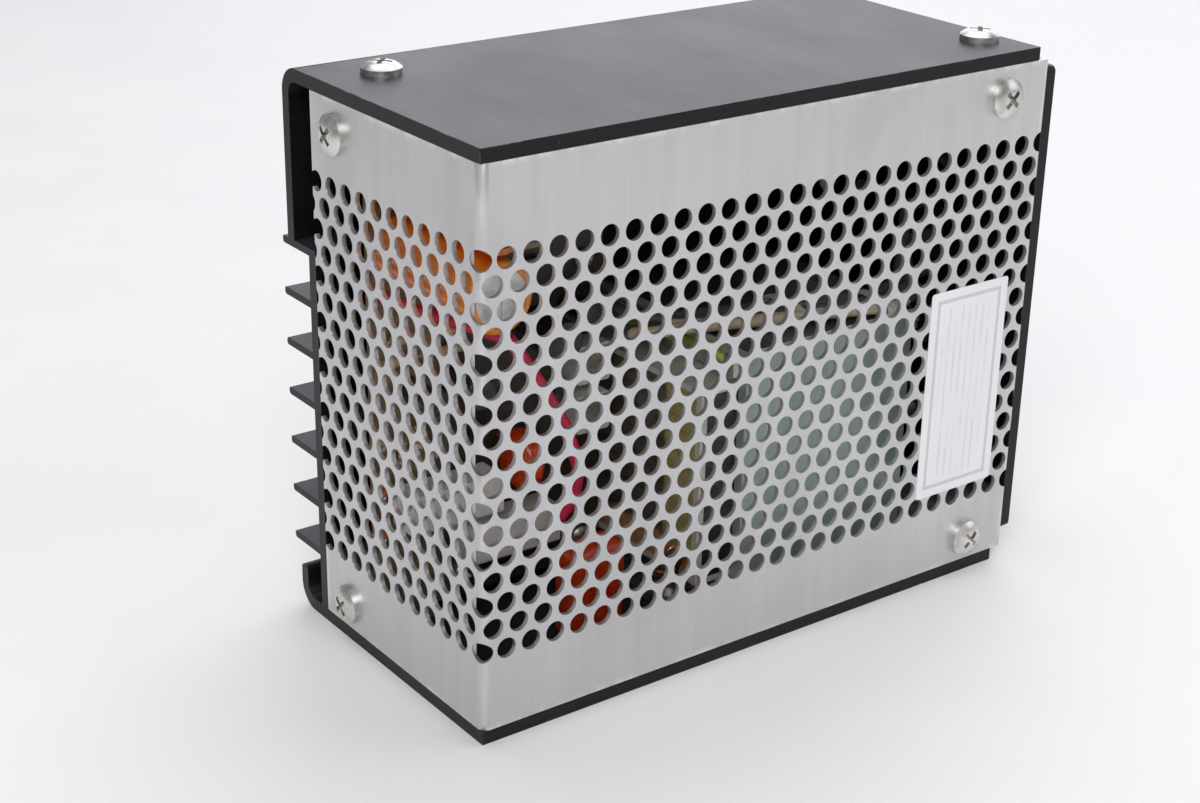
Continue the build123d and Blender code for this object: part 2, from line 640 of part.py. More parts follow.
def on_base(sketch, distance, thickness):
    """Extrude a sketch of the XZ plane forward from a plane at a distance before the base."""
    front = BASE_FACE - distance
    return extrude(Plane(origin=(0, front, 0), x_dir=(1, 0, 0), z_dir=(0, -1, 0)) * sketch, thickness)


def make_transistor(spot):
    """A metal can transistor: an oval flange and a round cap."""
    body = on_base(transistor_outline(spot, 0), 0.2, 1.6)
    cap = rod((spot[0], BASE_FACE - 1.8, spot[1]), (0, -1, 0), 10.5, 6.5)
    body += fillet(cap.edges().group_by(Axis.Y)[0], 1.5)
    for x, z in transistor_screw_spots(spot):
        body -= rod((x, BASE_FACE, z), (0, -1, 0), SMALL_SHANK_RADIUS, 2)
    return body


def make_transistor_insulator(spot):
    film = on_base(transistor_outline(spot, 1.2), 0, 0.2)
    for x, z in transistor_screw_spots(spot):
        film -= rod((x, BASE_FACE, z), (0, -1, 0), SMALL_SHANK_RADIUS, 0.2)
    return film


def make_rectifier():
    x, z = RECTIFIER_SPOT
    half = RECTIFIER_SIZE / 2
    body = block((x - half, x + half), (BASE_FACE - 6.5, BASE_FACE), (z - half, z + half))
    body = chamfer(body.edges().filter_by(Axis.Y), 1.2)
    body -= rod((x, BASE_FACE, z), (0, -1, 0), SMALL_SHANK_RADIUS, 7)
    for tab_x in (x - RECTIFIER_TAB, x + RECTIFIER_TAB):
        for tab_z in (z - RECTIFIER_TAB, z + RECTIFIER_TAB):
            ends = (BASE_FACE - 12, BASE_FACE - 6.5)
            body += block((tab_x - 0.4, tab_x + 0.4), ends, (tab_z - 1.6, tab_z + 1.6))
    return body


# ---- transformer ----
def core_bolt_spots():
    inset = 4.6
    heights = (CORE_Z[0] + inset, CORE_Z[1] - inset)
    return [(y, z) for y in (CORE_Y[0] + inset, CORE_Y[1] - inset) for z in heights]


def foot_screw_spots():
    return [(x, y) for x in (CORE_X[0] - 7, CORE_X[1] + 7) for y in (27.0, 55.0)]


def window_ranges():
    """The two windows in the core, as (low, high) along Y."""
    low, high = CORE_Y
    middle = (low + high) / 2
    return ((low + CORE_LEG, middle - CORE_LEG), (middle + CORE_LEG, high - CORE_LEG))


def make_core():
    core = block(CORE_X, CORE_Y, CORE_Z)
    window_z = (CORE_Z[0] + CORE_YOKE, CORE_Z[1] - CORE_YOKE)
    for window in window_ranges():
        core -= block(CORE_X, window, window_z)
    for y, z in core_bolt_spots():
        core -= rod((CORE_X[0], y, z), (1, 0, 0), CORE_BOLT_RADIUS, CORE_X[1] - CORE_X[0])
    return core


def coil_heights():
    """The two levels between the core's yokes, with a little play."""
    return CORE_Z[0] + CORE_YOKE + 0.2, CORE_Z[1] - CORE_YOKE - 0.2


def coil_band(grow, thickness, z):
    """A closed band round the core's middle leg, grow away from it, between two heights."""
    y = (window_ranges()[0][1] - grow, window_ranges()[1][0] + grow)
    x = (CORE_X[0] - grow, CORE_X[1] + grow)
    outer = block((x[0] - thickness, x[1] + thickness), (y[0] - thickness, y[1] + thickness), z)
    return outer - block(x, y, z)


def coil_ends():
    """The (low, high) ranges along X and Y of the winding beyond each face of the core."""
    left = ((CORE_X[0] - COIL_BULGE, CORE_X[0] - 0.2), COIL_LEFT_Y)
    right = ((CORE_X[1] + 0.2, CORE_X[1] + COIL_BULGE), COIL_RIGHT_Y)
    return left, right


def corner_posts(x, y, z, outer_x):
    """Square posts at a winding end's two outer corners."""
    post_x = (outer_x, outer_x + COIL_POST) if outer_x == x[0] else (outer_x - COIL_POST, outer_x)
    return block(post_x, (y[0], y[0] + COIL_POST), z) + block(post_x, (y[1] - COIL_POST, y[1]), z)


def make_bobbin():
    low, high = coil_heights()
    bobbin = coil_band(0.2, 1.0, (low, high))
    for (x, y), outer_x in zip(coil_ends(), (CORE_X[0] - COIL_BULGE, CORE_X[1] + COIL_BULGE)):
        for level in (low, high - BOBBIN_WALL):
            bobbin += block(x, y, (level, level + BOBBIN_WALL)) - coil_core_space()
        bobbin += corner_posts(x, y, (low, high), outer_x)
    return bobbin


def coil_core_space():
    """The space that the core's middle leg takes up, with play."""
    y = (window_ranges()[0][1] - 0.2, window_ranges()[1][0] + 0.2)
    return block((CORE_X[0] - 0.2, CORE_X[1] + 0.2), y, CORE_Z)


def make_coil():
    low, high = coil_heights()
    z = (low + BOBBIN_WALL, high - BOBBIN_WALL)
    coil = coil_band(1.2, 6.2, z)
    for (x, y), outer_x in zip(coil_ends(), (CORE_X[0] - COIL_BULGE, CORE_X[1] + COIL_BULGE)):
        end = block(x, y, z) - corner_posts(x, y, z, outer_x)
        coil += end
    y = (window_ranges()[0][1] - 1.2, window_ranges()[1][0] + 1.2)
    return coil - block((CORE_X[0] - 1.2, CORE_X[1] + 1.2), y, z)


def make_foot(left):
    face = CORE_X[0] if left else CORE_X[1]
    side = -1 if left else 1
    foot = block(sorted((face, face + side * 13)), (CORE_Y[0] + 11, CORE_Y[1]), (FLANGE, FLANGE + FOOT))
    foot += block(sorted((face, face + side * FOOT)), CORE_Y, (FLANGE, CORE_Z[0] + CORE_YOKE))
    for bolt_y, z in core_bolt_spots():
        foot -= rod((face, bolt_y, z), (side, 0, 0), CORE_BOLT_RADIUS, 4)
    for x, screw_y in foot_screw_spots():
        foot -= rod((x, screw_y, FLANGE), (0, 0, 1), SMALL_SHANK_RADIUS, FOOT)
    return foot


def bolt_face(z, side):
    """Where a core bolt's head or nut bears: on a foot below, on the core above."""
    face = CORE_X[0] if side < 0 else CORE_X[1]
    return face + side * (FOOT if z < CORE_Z[0] + CORE_YOKE else 0)


def make_core_bolt(y, z):
    seat, far = bolt_face(z, -1), bolt_face(z, 1)
    bolt = rod((seat, y, z), (1, 0, 0), CORE_BOLT_RADIUS, far - seat + 5)
    return bolt + hexagon_bar((seat, y, z), (-1, 0, 0), CORE_BOLT_FLATS, 2.8)


def make_core_nut(y, z):
    seat = bolt_face(z, 1)
    nut = hexagon_bar((seat, y, z), (1, 0, 0), CORE_BOLT_FLATS, 3.2)
    return nut - rod((seat, y, z), (1, 0, 0), CORE_BOLT_RADIUS, 4)


def make_transformer_lead(index):
    """One lead from the board, across the top of the core, to the back of a terminal."""
    y = LEAD_Y[index]
    start_z = LEAD_START_Z[index]
    terminal = terminal_heights()[LEAD_TERMINALS[index] - 1]
    middle_y = sum(TERMINAL_Y) / 2
    level = CORE_Z[1] + LEAD_RADIUS + 0.4
    return wire([
        (62.5, BOARD_FACE, start_z),
        (62.5, y + 6, start_z),
        (73, y + 1, level + 0.6),
        (92, y - 4, level),
        (124, y - 14, level),
        (137, y - 10, level),
        (150, middle_y, terminal),
        (PANEL_OUT, middle_y, terminal),
    ], LEAD_RADIUS, 3.0)


# ---- label ----
def make_label():
    sheet = block((126.6, 152.0), (-0.15, 0), (24.4, 77.9))
    return fillet(sheet.edges().filter_by(Axis.Y), 0.8)


os.makedirs(PARTS_FOLDER, exist_ok=True)

save("chassis", make_chassis())
save("perforated_cover", make_cover())
save("rating_label", make_label())
ends = (False, True)
save("rear_corner_blocks", *[make_corner_block(REAR_BLOCK_X, REAR_BLOCK_Y, top) for top in ends])
save("front_corner_blocks", *[make_corner_block(FRONT_BLOCK_X, FRONT_BLOCK_Y, top) for top in ends])

cover_screws = []
for seat, into in cover_screw_seats():
    out = tuple(-c for c in into)
    cover_screws.append(pan_screw(seat, out, COVER_HEAD_RADIUS, COVER_HEAD_HEIGHT, COVER_SHANK_RADIUS, 8.5))
save("cover_screws", *cover_screws)
flange_spots = (REAR_FLANGE_SCREW, FRONT_FLANGE_SCREW)
screw_size = (COVER_SHANK_RADIUS, 10.5)
save("top_screws", *[
    pan_screw((*spot, CHASSIS_HEIGHT), (0, 0, 1), COVER_HEAD_RADIUS, COVER_HEAD_HEIGHT, *screw_size)
    for spot in flange_spots
])
save("bottom_screws", *[
    flat_screw((*spot, FLUSH_RECESS), (0, 0, -1), COVER_HEAD_RADIUS, FLAT_HEAD_HEIGHT, *screw_size)
    for spot in flange_spots
])

save("end_panel", make_end_panel())
save("panel_brackets", *[make_panel_bracket(low) for low in PANEL_BRACKET_Z])
small = (SMALL_HEAD_RADIUS, SMALL_HEAD_HEIGHT, SMALL_SHANK_RADIUS)
panel_screws = [((PANEL_OUT, PANEL_SCREW_Y, z), PANEL_THICKNESS + 5.3) for z in panel_screw_heights()]
panel_screws += [((PANEL_OUT, y, z), PANEL_THICKNESS + 4) for y, z in panel_bracket_screws()]
save("panel_screws", *[pan_screw(seat, (1, 0, 0), *small, length) for seat, length in panel_screws])
save("panel_bracket_rivets", *[
    pan_screw((x, BASE_FACE - 2, z), (0, -1, 0), SMALL_HEAD_RADIUS, 1.4, SMALL_SHANK_RADIUS, 4.2)
    for x, z in panel_bracket_rivets()
])
save("terminal_block", make_terminal_block())
save("terminal_plates", *[make_terminal_plate(z) for z in terminal_heights()])
for number, z in enumerate(terminal_heights(), 1):
    save(f"terminal_screw_{number}", make_terminal_screw(z))
terminal_y = sum(TERMINAL_Y) / 2
block_screw_length = TERMINAL_BASE + PANEL_THICKNESS + 4
save("terminal_block_screws", *[
    pan_screw((PANEL_OUT + TERMINAL_BASE, terminal_y, z), (1, 0, 0), *small, block_screw_length)
    for z in terminal_end_heights()
])
save("terminal_block_nuts", *[
    hexagon_bar((PANEL_X, terminal_y, z), (-1, 0, 0), 5.5, 2.4)
    - rod((PANEL_X, terminal_y, z), (-1, 0, 0), SMALL_SHANK_RADIUS, 3)
    for z in terminal_end_heights()
])
lens = rod((PANEL_X - 4, INDICATOR_Y, INDICATOR_Z), (1, 0, 0), 2.5, 9.5)
save("indicator_lens", fillet(lens.edges().group_by(Axis.X)[-1], 2.2))
bezel = ring((PANEL_OUT, INDICATOR_Y, INDICATOR_Z), (1, 0, 0), 5.2, 2.55, 1.4)
bezel = chamfer(bezel.edges().group_by(Axis.X)[-1].sort_by(SortBy.RADIUS)[-1], 0.6)
save("indicator_bezel", bezel + ring((PANEL_X - 3, INDICATOR_Y, INDICATOR_Z), (1, 0, 0), 4.0, 2.55, 6.1))

save("din_bracket", make_din_bracket())
save("bracket_spacers", *[
    ring((x, y, z), (0, 1, 0), 4.0, 2.0, BRACKET_Y[0] - y)
    for x in BRACKET_SCREW_X
    for y, z in ((BASE_FACE + BASE_THICKNESS, LOW_SCREW_Z), (CHASSIS_DEPTH, HIGH_SCREW_Z))
])
save("bracket_screws", *[
    pan_screw((x, BRACKET_Y[1], z), (0, 1, 0), 4.0, 2.4, 2.0, length)
    for x in BRACKET_SCREW_X
    for z, length in ((LOW_SCREW_Z, 16.6), (HIGH_SCREW_Z, 7.3))
])
save("din_latch", make_latch())
save("latch_guide", make_latch_guide())
save("latch_guide_rivets", *[
    rod((x, BRACKET_Y[0], z), (0, 1, 0), 1.5, 3.5) + rod((x, BRACKET_Y[1] + 1.5, z), (0, 1, 0), 2.6, 0.9)
    for x, z in guide_rivet_spots()
])
save("latch_spring", make_spring())

save("circuit_board", make_board())
save("board_standoffs", *[make_standoff(x, z) for x, z in STANDOFF_SPOTS])
inner_screws = [pan_screw((x, BOARD_FACE, z), (0, -1, 0), *INNER_SCREW, 6.5) for x, z in STANDOFF_SPOTS]
inner_screws += [
    pan_screw((x, BASE_FACE - 1.8, z), (0, -1, 0), *INNER_SCREW, 4)
    for spot in TRANSISTOR_SPOTS
    for x, z in transistor_screw_spots(spot)
]
foot_seats = [(x, y, FLANGE + FOOT) for x, y in foot_screw_spots()]
inner_screws += [pan_screw(seat, (0, 0, 1), *INNER_SCREW, 3.8) for seat in foot_seats]
rectifier_x, rectifier_z = RECTIFIER_SPOT
inner_screws.append(pan_screw((rectifier_x, BASE_FACE - 6.5, rectifier_z), (0, -1, 0), *INNER_SCREW, 8.5))
save("inner_pan_screws", *inner_screws)
save("capacitor_cans", *[make_capacitor_can(x, z) for x, z in CAPACITOR_SPOTS])
save("capacitor_sleeves", *[make_capacitor_sleeve(x, z) for x, z in CAPACITOR_SPOTS])
save("trimmer_bodies", *[make_trimmer_body(x, z) for x, z in TRIMMER_SPOTS])
for name, spot in zip(("voltage_trimmer_rotor", "current_trimmer_rotor"), TRIMMER_SPOTS):
    save(name, make_trimmer_rotor(*spot))
save("ceramic_resistors", make_ceramic_resistor(22, 21), make_ceramic_resistor(6, 33))
save("varistor", make_disc_part(36.0, 44.5, 7.2, 5.0))
save("film_capacitor", make_film_capacitor())
save("small_capacitors", *[make_small_capacitor(*spot) for spot in SMALL_CAPACITORS])
resistor_spots = [(10.0 + 12.0 * column, 72.0 + 5.0 * row) for column in range(2) for row in range(2)]
resistor_spots += [(44.0, 88.0 + 5.0 * row) for row in range(6)]
save("small_resistors", *[make_axial_resistor(x, z) for x, z in resistor_spots])
save("regulator_chip", make_chip(53.0, 94.0))
save("fuse", make_fuse())
save("fuse_clips", make_fuse_clip(FUSE_Z[0]), make_fuse_clip(FUSE_Z[1] - 5))

save("pass_transistors", *[make_transistor(spot) for spot in TRANSISTOR_SPOTS])
save("transistor_insulators", *[make_transistor_insulator(spot) for spot in TRANSISTOR_SPOTS])
save("bridge_rectifier", make_rectifier())

save("transformer_core", make_core())
save("transformer_bobbin", make_bobbin())
save("transformer_coil", make_coil())
save("transformer_feet", make_foot(True), make_foot(False))
save("transformer_bolts", *[make_core_bolt(y, z) for y, z in core_bolt_spots()])
save("transformer_nuts", *[make_core_nut(y, z) for y, z in core_bolt_spots()])

save("red_lead", wire(RED_LEAD_PATH, 1.6, 3.2))
save("transformer_leads", *[make_transformer_lead(index) for index in range(3)])
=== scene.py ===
"""The looks of a linear DIN-rail power supply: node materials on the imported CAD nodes, a few
small pieces that the CAD leaves out, a pale studio and the camera."""

import math

import bmesh
import bpy
from mathutils import Matrix, Vector


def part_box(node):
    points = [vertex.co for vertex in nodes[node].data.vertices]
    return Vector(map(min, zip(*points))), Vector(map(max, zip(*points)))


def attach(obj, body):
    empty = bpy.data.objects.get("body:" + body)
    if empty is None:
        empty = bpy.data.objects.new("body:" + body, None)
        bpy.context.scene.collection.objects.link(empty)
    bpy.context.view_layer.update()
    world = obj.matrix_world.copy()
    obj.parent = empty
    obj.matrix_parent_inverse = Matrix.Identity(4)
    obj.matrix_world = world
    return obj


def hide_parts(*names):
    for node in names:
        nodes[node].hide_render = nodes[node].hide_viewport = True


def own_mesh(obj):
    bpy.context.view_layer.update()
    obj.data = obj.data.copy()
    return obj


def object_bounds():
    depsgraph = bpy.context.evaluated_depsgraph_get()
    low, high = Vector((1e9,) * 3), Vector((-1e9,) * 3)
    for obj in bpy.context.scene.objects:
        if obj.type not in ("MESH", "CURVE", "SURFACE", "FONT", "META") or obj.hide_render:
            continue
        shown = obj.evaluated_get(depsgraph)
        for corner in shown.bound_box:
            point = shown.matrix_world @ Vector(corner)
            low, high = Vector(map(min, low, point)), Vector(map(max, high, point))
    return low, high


MM = 0.001

# ---- camera: azimuth, elevation and roll in degrees, place in metres, lens in millimetres ----
CAMERA_AZIMUTH = -36.707
CAMERA_ELEVATION = 23.026
CAMERA_ROLL = 1.107
CAMERA_PLACE = (-0.289836, -0.364265, 0.245773)
CAMERA_LENS = 62.785
SENSOR_WIDTH = 36.0

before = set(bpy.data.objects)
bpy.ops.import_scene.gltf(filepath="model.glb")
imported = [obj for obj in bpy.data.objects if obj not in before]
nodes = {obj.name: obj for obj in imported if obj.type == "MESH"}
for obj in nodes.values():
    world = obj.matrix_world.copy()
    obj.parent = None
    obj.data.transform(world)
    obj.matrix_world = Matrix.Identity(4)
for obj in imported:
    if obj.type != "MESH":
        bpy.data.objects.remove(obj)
cad_low, cad_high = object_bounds()


# ---- node materials ----
class Finish:
    """A node material in the object's own coordinates, which are the row frame's."""

    def __init__(self, name, metallic=0.0, roughness=0.5, specular=0.5, coat=0.0):
        self.material = bpy.data.materials.new(name)
        self.material.use_nodes = True
        self.tree = self.material.node_tree
        self.shader = self.tree.nodes["Principled BSDF"]
        self.set("Metallic", metallic)
        self.set("Roughness", roughness)
        self.set("Specular IOR Level", specular)
        self.set("Coat Weight", coat)
        self.set("Coat Roughness", 0.12)
        coordinates = self.add("ShaderNodeTexCoord")
        self.place = coordinates.outputs["Object"]
        self.facing = coordinates.outputs["Normal"]
        self.normal = None

    def add(self, kind):
        return self.tree.nodes.new(kind)

    def feed(self, socket, value):
        if isinstance(value, bpy.types.NodeSocket):
            self.tree.links.new(value, socket)
        else:
            socket.default_value = value

    def set(self, name, value):
        self.feed(self.shader.inputs[name], value)

    def sum(self, operation, first, second=0.0, third=0.0):
        node = self.add("ShaderNodeMath")
        node.operation = operation
        for socket, value in zip(node.inputs, (first, second, third)):
            self.feed(socket, value)
        return node.outputs[0]

    def axis(self, vector, index):
        node = self.add("ShaderNodeSeparateXYZ")
        self.feed(node.inputs[0], vector)
        return node.outputs[index]

    def noise(self, cell, stretch=(1, 1, 1), detail=3.0, rough=0.55):
        """Noise whose cells are about that many millimetres, times stretch along each axis."""
        mapping = self.add("ShaderNodeMapping")
        self.feed(mapping.inputs["Vector"], self.place)
        mapping.inputs["Scale"].default_value = [1 / (cell * MM * s) for s in stretch]
        node = self.add("ShaderNodeTexNoise")
        self.feed(node.inputs["Vector"], mapping.outputs[0])
        node.inputs["Scale"].default_value = 1.0
        node.inputs["Detail"].default_value = detail
        node.inputs["Roughness"].default_value = rough
        return node.outputs["Fac"]

    def span(self, value, low, high, to_low=0.0, to_high=1.0):
        """Value from low to high, carried smoothly to to_low to to_high."""
        node = self.add("ShaderNodeMapRange")
        node.interpolation_type = "SMOOTHSTEP"
        self.feed(node.inputs["Value"], value)
        for name, number in zip(("From Min", "From Max", "To Min", "To Max"), (low, high, to_low, to_high)):
            node.inputs[name].default_value = number
        return node.outputs[0]

    def mix(self, factor, first, second):
        node = self.add("ShaderNodeMix")
        node.data_type = "RGBA"
        self.feed(node.inputs[0], factor)
        for socket, value in ((node.inputs[6], first), (node.inputs[7], second)):
            self.feed(socket, (*value, 1.0) if isinstance(value, tuple) else value)
        return node.outputs[2]

    def lines(self, axis, pitch, duty=0.5):
        """One where the position along an axis lies in the first part of each pitch, in millimetres."""
        position = self.sum("DIVIDE", self.axis(self.place, axis), pitch * MM)
        inside = self.sum("FRACT", position)
        rising = self.span(inside, 0.0, 0.12)
        return self.sum("MULTIPLY", rising, self.span(inside, duty, duty + 0.12, 1.0, 0.0))

    def box_distances(self, box):
        """Distances from a box's faces, one for each axis."""
        low, high = box
        found = []
        for index in range(3):
            middle, half = (low[index] + high[index]) / 2, (high[index] - low[index]) / 2
            offset = self.sum("SUBTRACT", self.axis(self.place, index), middle)
            found.append(self.sum("SUBTRACT", half, self.sum("ABSOLUTE", offset)))
        return found

    def box_edges(self, box, width):
        """One where two faces of a box meet, falling to zero that many millimetres away."""
        a, b, c = self.box_distances(box)
        nearer, farther = self.sum("MINIMUM", a, b), self.sum("MAXIMUM", a, b)
        middle = self.sum("MAXIMUM", nearer, self.sum("MINIMUM", farther, c))
        return self.span(middle, 0.0, width * MM, 1.0, 0.0)

    def bump(self, height, strength, depth):
        node = self.add("ShaderNodeBump")
        node.inputs["Strength"].default_value = strength
        node.inputs["Distance"].default_value = depth * MM
        self.feed(node.inputs["Height"], height)
        if self.normal is not None:
            self.feed(node.inputs["Normal"], self.normal)
        self.normal = node.outputs[0]
        self.set("Normal", self.normal)


def plain_finish(name, dark, light, roughness, metallic=0.0, cell=1.0, stretch=(1, 1, 1), depth=0.02,
                 strength=0.3, mark=None, coat=0.0, specular=0.5):
    """A material with grain in its colour, roughness and relief, and marks of a third colour."""
    finish = Finish(name, metallic, specular=specular, coat=coat)
    grain = finish.noise(cell, stretch)
    broad = finish.noise(cell * 14, detail=4.0)
    shade = finish.sum("ADD", finish.sum("MULTIPLY", grain, 0.55), finish.sum("MULTIPLY", broad, 0.45))
    colour = finish.mix(finish.span(shade, 0.32, 0.68), dark, light)
    if mark is not None:
        spots = finish.span(finish.noise(cell * 5, detail=6.0, rough=0.7), 0.60, 0.70, 0.0, 0.6)
        colour = finish.mix(spots, colour, mark)
    finish.set("Base Color", colour)
    finish.set("Roughness", finish.span(shade, 0.25, 0.75, roughness - 0.07, roughness + 0.09))
    finish.bump(grain, strength, depth)
    return finish.material


def anodised_finish(name, box, top_grain_and_sheen=True):
    """Satin black anodising: brush marks along Y on top, drawn along X elsewhere. The top is painted
    lighter and bluer than the sides as a sheen, and the edges are lightened, partly as wear and partly as a
    painted highlight.
    """
    finish = Finish(name, metallic=0.0, specular=0.22)
    along_y = finish.noise(0.22, (1, 90, 1), detail=4.0, rough=0.6)
    along_x = finish.noise(0.25, (90, 1, 1), detail=4.0, rough=0.6)
    upward = finish.span(finish.sum("ABSOLUTE", finish.axis(finish.facing, 2)), 0.7, 0.95)
    grain = finish.add("ShaderNodeMix")
    finish.feed(grain.inputs[0], upward if top_grain_and_sheen else 0.0)
    finish.feed(grain.inputs[2], along_x)
    finish.feed(grain.inputs[3], along_y)
    grain = grain.outputs[0]
    broad = finish.noise(30, (1, 1.6, 1), detail=5.0)
    drawn = finish.mix(finish.span(grain, 0.3, 0.7), (0.004, 0.004, 0.005), (0.010, 0.010, 0.011))
    # painted sheen: the top faces get a lighter, bluer colour than the sides
    brushed_with_painted_sheen = finish.mix(finish.span(grain, 0.3, 0.7), (0.018, 0.018, 0.024), (0.041, 0.041, 0.053))
    colour = finish.mix(upward, drawn, brushed_with_painted_sheen) if top_grain_and_sheen else drawn
    dust = finish.span(finish.noise(0.9, detail=2.0), 0.73, 0.80, 0.0, 0.35)
    colour = finish.mix(dust, colour, (0.22, 0.21, 0.20))
    # the edges are lightened in patches: partly wear, partly a painted edge highlight
    worn = finish.span(finish.noise(6.0, detail=6.0, rough=0.7), 0.50, 0.72)
    wear_and_edge_highlight = finish.sum("MULTIPLY", finish.box_edges(box, 0.35), worn)
    colour = finish.mix(finish.sum("MULTIPLY", wear_and_edge_highlight, 0.5), colour, (0.26, 0.26, 0.27))
    finish.set("Base Color", colour)
    uneven = finish.span(broad, 0.3, 0.7, 0.33, 0.38)
    finish.set("Roughness", finish.sum("ADD", uneven, finish.span(grain, 0.3, 0.7, -0.03, 0.07)))
    finish.bump(grain, 0.35, 0.012)
    return finish.material


def cover_finish(box):
    """Bare sheet aluminium with its mill grain along Z, handling marks, and a pale band along its fold and
    edges that is partly rubbing and partly a painted highlight.
    """
    finish = Finish("cover_aluminium", metallic=0.82, specular=0.5)
    grain = finish.noise(0.35, (1, 1, 70), detail=4.0, rough=0.6)
    streak = finish.noise(3.5, (1, 1, 24), detail=4.0)
    cloud = finish.noise(26, detail=5.0, rough=0.6)
    shade = finish.sum("ADD", finish.sum("MULTIPLY", grain, 0.35), finish.sum("MULTIPLY", streak, 0.65))
    colour = finish.mix(finish.span(shade, 0.25, 0.75), (0.555, 0.555, 0.565), (0.615, 0.615, 0.62))
    colour = finish.mix(finish.span(cloud, 0.50, 0.70, 0.0, 0.22), colour, (0.47, 0.46, 0.45))
    spots = finish.span(finish.noise(1.3, detail=3.0), 0.70, 0.78, 0.0, 0.45)
    colour = finish.mix(spots, colour, (0.36, 0.33, 0.29))
    # partly a painted highlight: the fold and the other edges are lightened in patches
    patches = finish.span(finish.noise(5.0, (1, 1, 3)), 0.4, 0.7)
    rub_and_edge_highlight = finish.sum("MULTIPLY", finish.box_edges(box, 1.6), patches)
    finish.set("Base Color", finish.mix(finish.sum("MULTIPLY", rub_and_edge_highlight, 0.6), colour, (0.88, 0.88, 0.88)))
    uneven = finish.span(cloud, 0.3, 0.7, 0.36, 0.47)
    finish.set("Roughness", finish.sum("ADD", uneven, finish.span(grain, 0.3, 0.7, -0.02, 0.03)))
    finish.bump(grain, 0.14, 0.006)
    finish.bump(finish.noise(9.0, (1, 1, 1.5)), 0.25, 0.06)
    return finish.material


def label_finish(box):
    """A white film label with an inset frame and plain ruled lines along Z. It carries no lettering."""
    finish = Finish("label_paper", roughness=0.42, coat=0.25)
    across, _, up = finish.box_distances(box)
    border = finish.sum("MINIMUM", across, up)
    begun = finish.span(border, 2.0 * MM, 2.25 * MM)
    ended = finish.span(border, 2.9 * MM, 3.15 * MM, 1.0, 0.0)
    outline = finish.sum("MULTIPLY", begun, ended)
    inside = finish.span(border, 4.2 * MM, 4.5 * MM)
    faded = finish.span(finish.noise(5, (0.4, 1, 2.0), detail=2.0), 0.40, 0.60)
    rules = finish.sum("MULTIPLY", finish.lines(0, 2.2, 0.30), finish.sum("MULTIPLY", inside, faded))
    paper = finish.mix(finish.noise(14, detail=4.0), (0.74, 0.75, 0.77), (0.84, 0.85, 0.86))
    colour = finish.mix(finish.sum("MULTIPLY", outline, 0.55), paper, (0.40, 0.41, 0.47))
    colour = finish.mix(finish.sum("MULTIPLY", rules, 0.30), colour, (0.40, 0.41, 0.47))
    scuff = finish.span(finish.noise(1.6, detail=5.0, rough=0.7), 0.62, 0.72, 0.0, 0.25)
    finish.set("Base Color", finish.mix(scuff, colour, (0.52, 0.50, 0.47)))
    finish.set("Roughness", finish.span(finish.noise(6), 0.3, 0.7, 0.34, 0.50))
    finish.bump(finish.noise(0.4), 0.15, 0.01)
    return finish.material


def screw_finish(name, dark, light, roughness):
    """Plated steel: satin, with turning marks and small dents."""
    finish = Finish(name, metallic=1.0)
    fine = finish.noise(0.12, detail=4.0, rough=0.6)
    broad = finish.noise(2.4, detail=4.0)
    colour = finish.mix(finish.span(broad, 0.3, 0.7), dark, light)
    tarnish = finish.span(finish.noise(0.8, detail=5.0, rough=0.7), 0.60, 0.72, 0.0, 0.5)
    finish.set("Base Color", finish.mix(tarnish, colour, (0.30, 0.27, 0.23)))
    uneven = finish.span(broad, 0.3, 0.7, roughness, roughness + 0.1)
    finish.set("Roughness", finish.sum("ADD", finish.span(fine, 0.3, 0.7, -0.05, 0.08), uneven))
    finish.bump(fine, 0.25, 0.02)
    finish.bump(broad, 0.20, 0.05)
    return finish.material


def core_finish():
    """Varnished laminations stacked along X: green-grey, with their edges drawn as fine lines, and their
    faces along Z darkened as painted shade.
    """
    finish = Finish("core_steel", metallic=0.25, roughness=0.4, coat=0.35)
    gaps = finish.lines(0, 0.5, 0.20)
    broad = finish.noise(9, (1, 1, 2), detail=5.0)
    colour = finish.mix(finish.span(broad, 0.3, 0.7), (0.42, 0.53, 0.48), (0.58, 0.68, 0.62))
    colour = finish.mix(finish.sum("MULTIPLY", gaps, 0.45), colour, (0.12, 0.16, 0.14))
    rust = finish.span(finish.noise(2.0, (1, 1, 3), detail=6.0, rough=0.7), 0.64, 0.74, 0.0, 0.5)
    colour = finish.mix(rust, colour, (0.23, 0.15, 0.08))
    # painted shade: the faces that look up or down are made near black
    ends = finish.span(finish.sum("ABSOLUTE", finish.axis(finish.facing, 2)), 0.5, 0.8, 0.0, 0.92)
    finish.set("Base Color", finish.mix(ends, colour, (0.022, 0.026, 0.024)))
    finish.set("Roughness", finish.span(broad, 0.3, 0.7, 0.30, 0.48))
    finish.bump(gaps, 0.5, -0.05)
    return finish.material


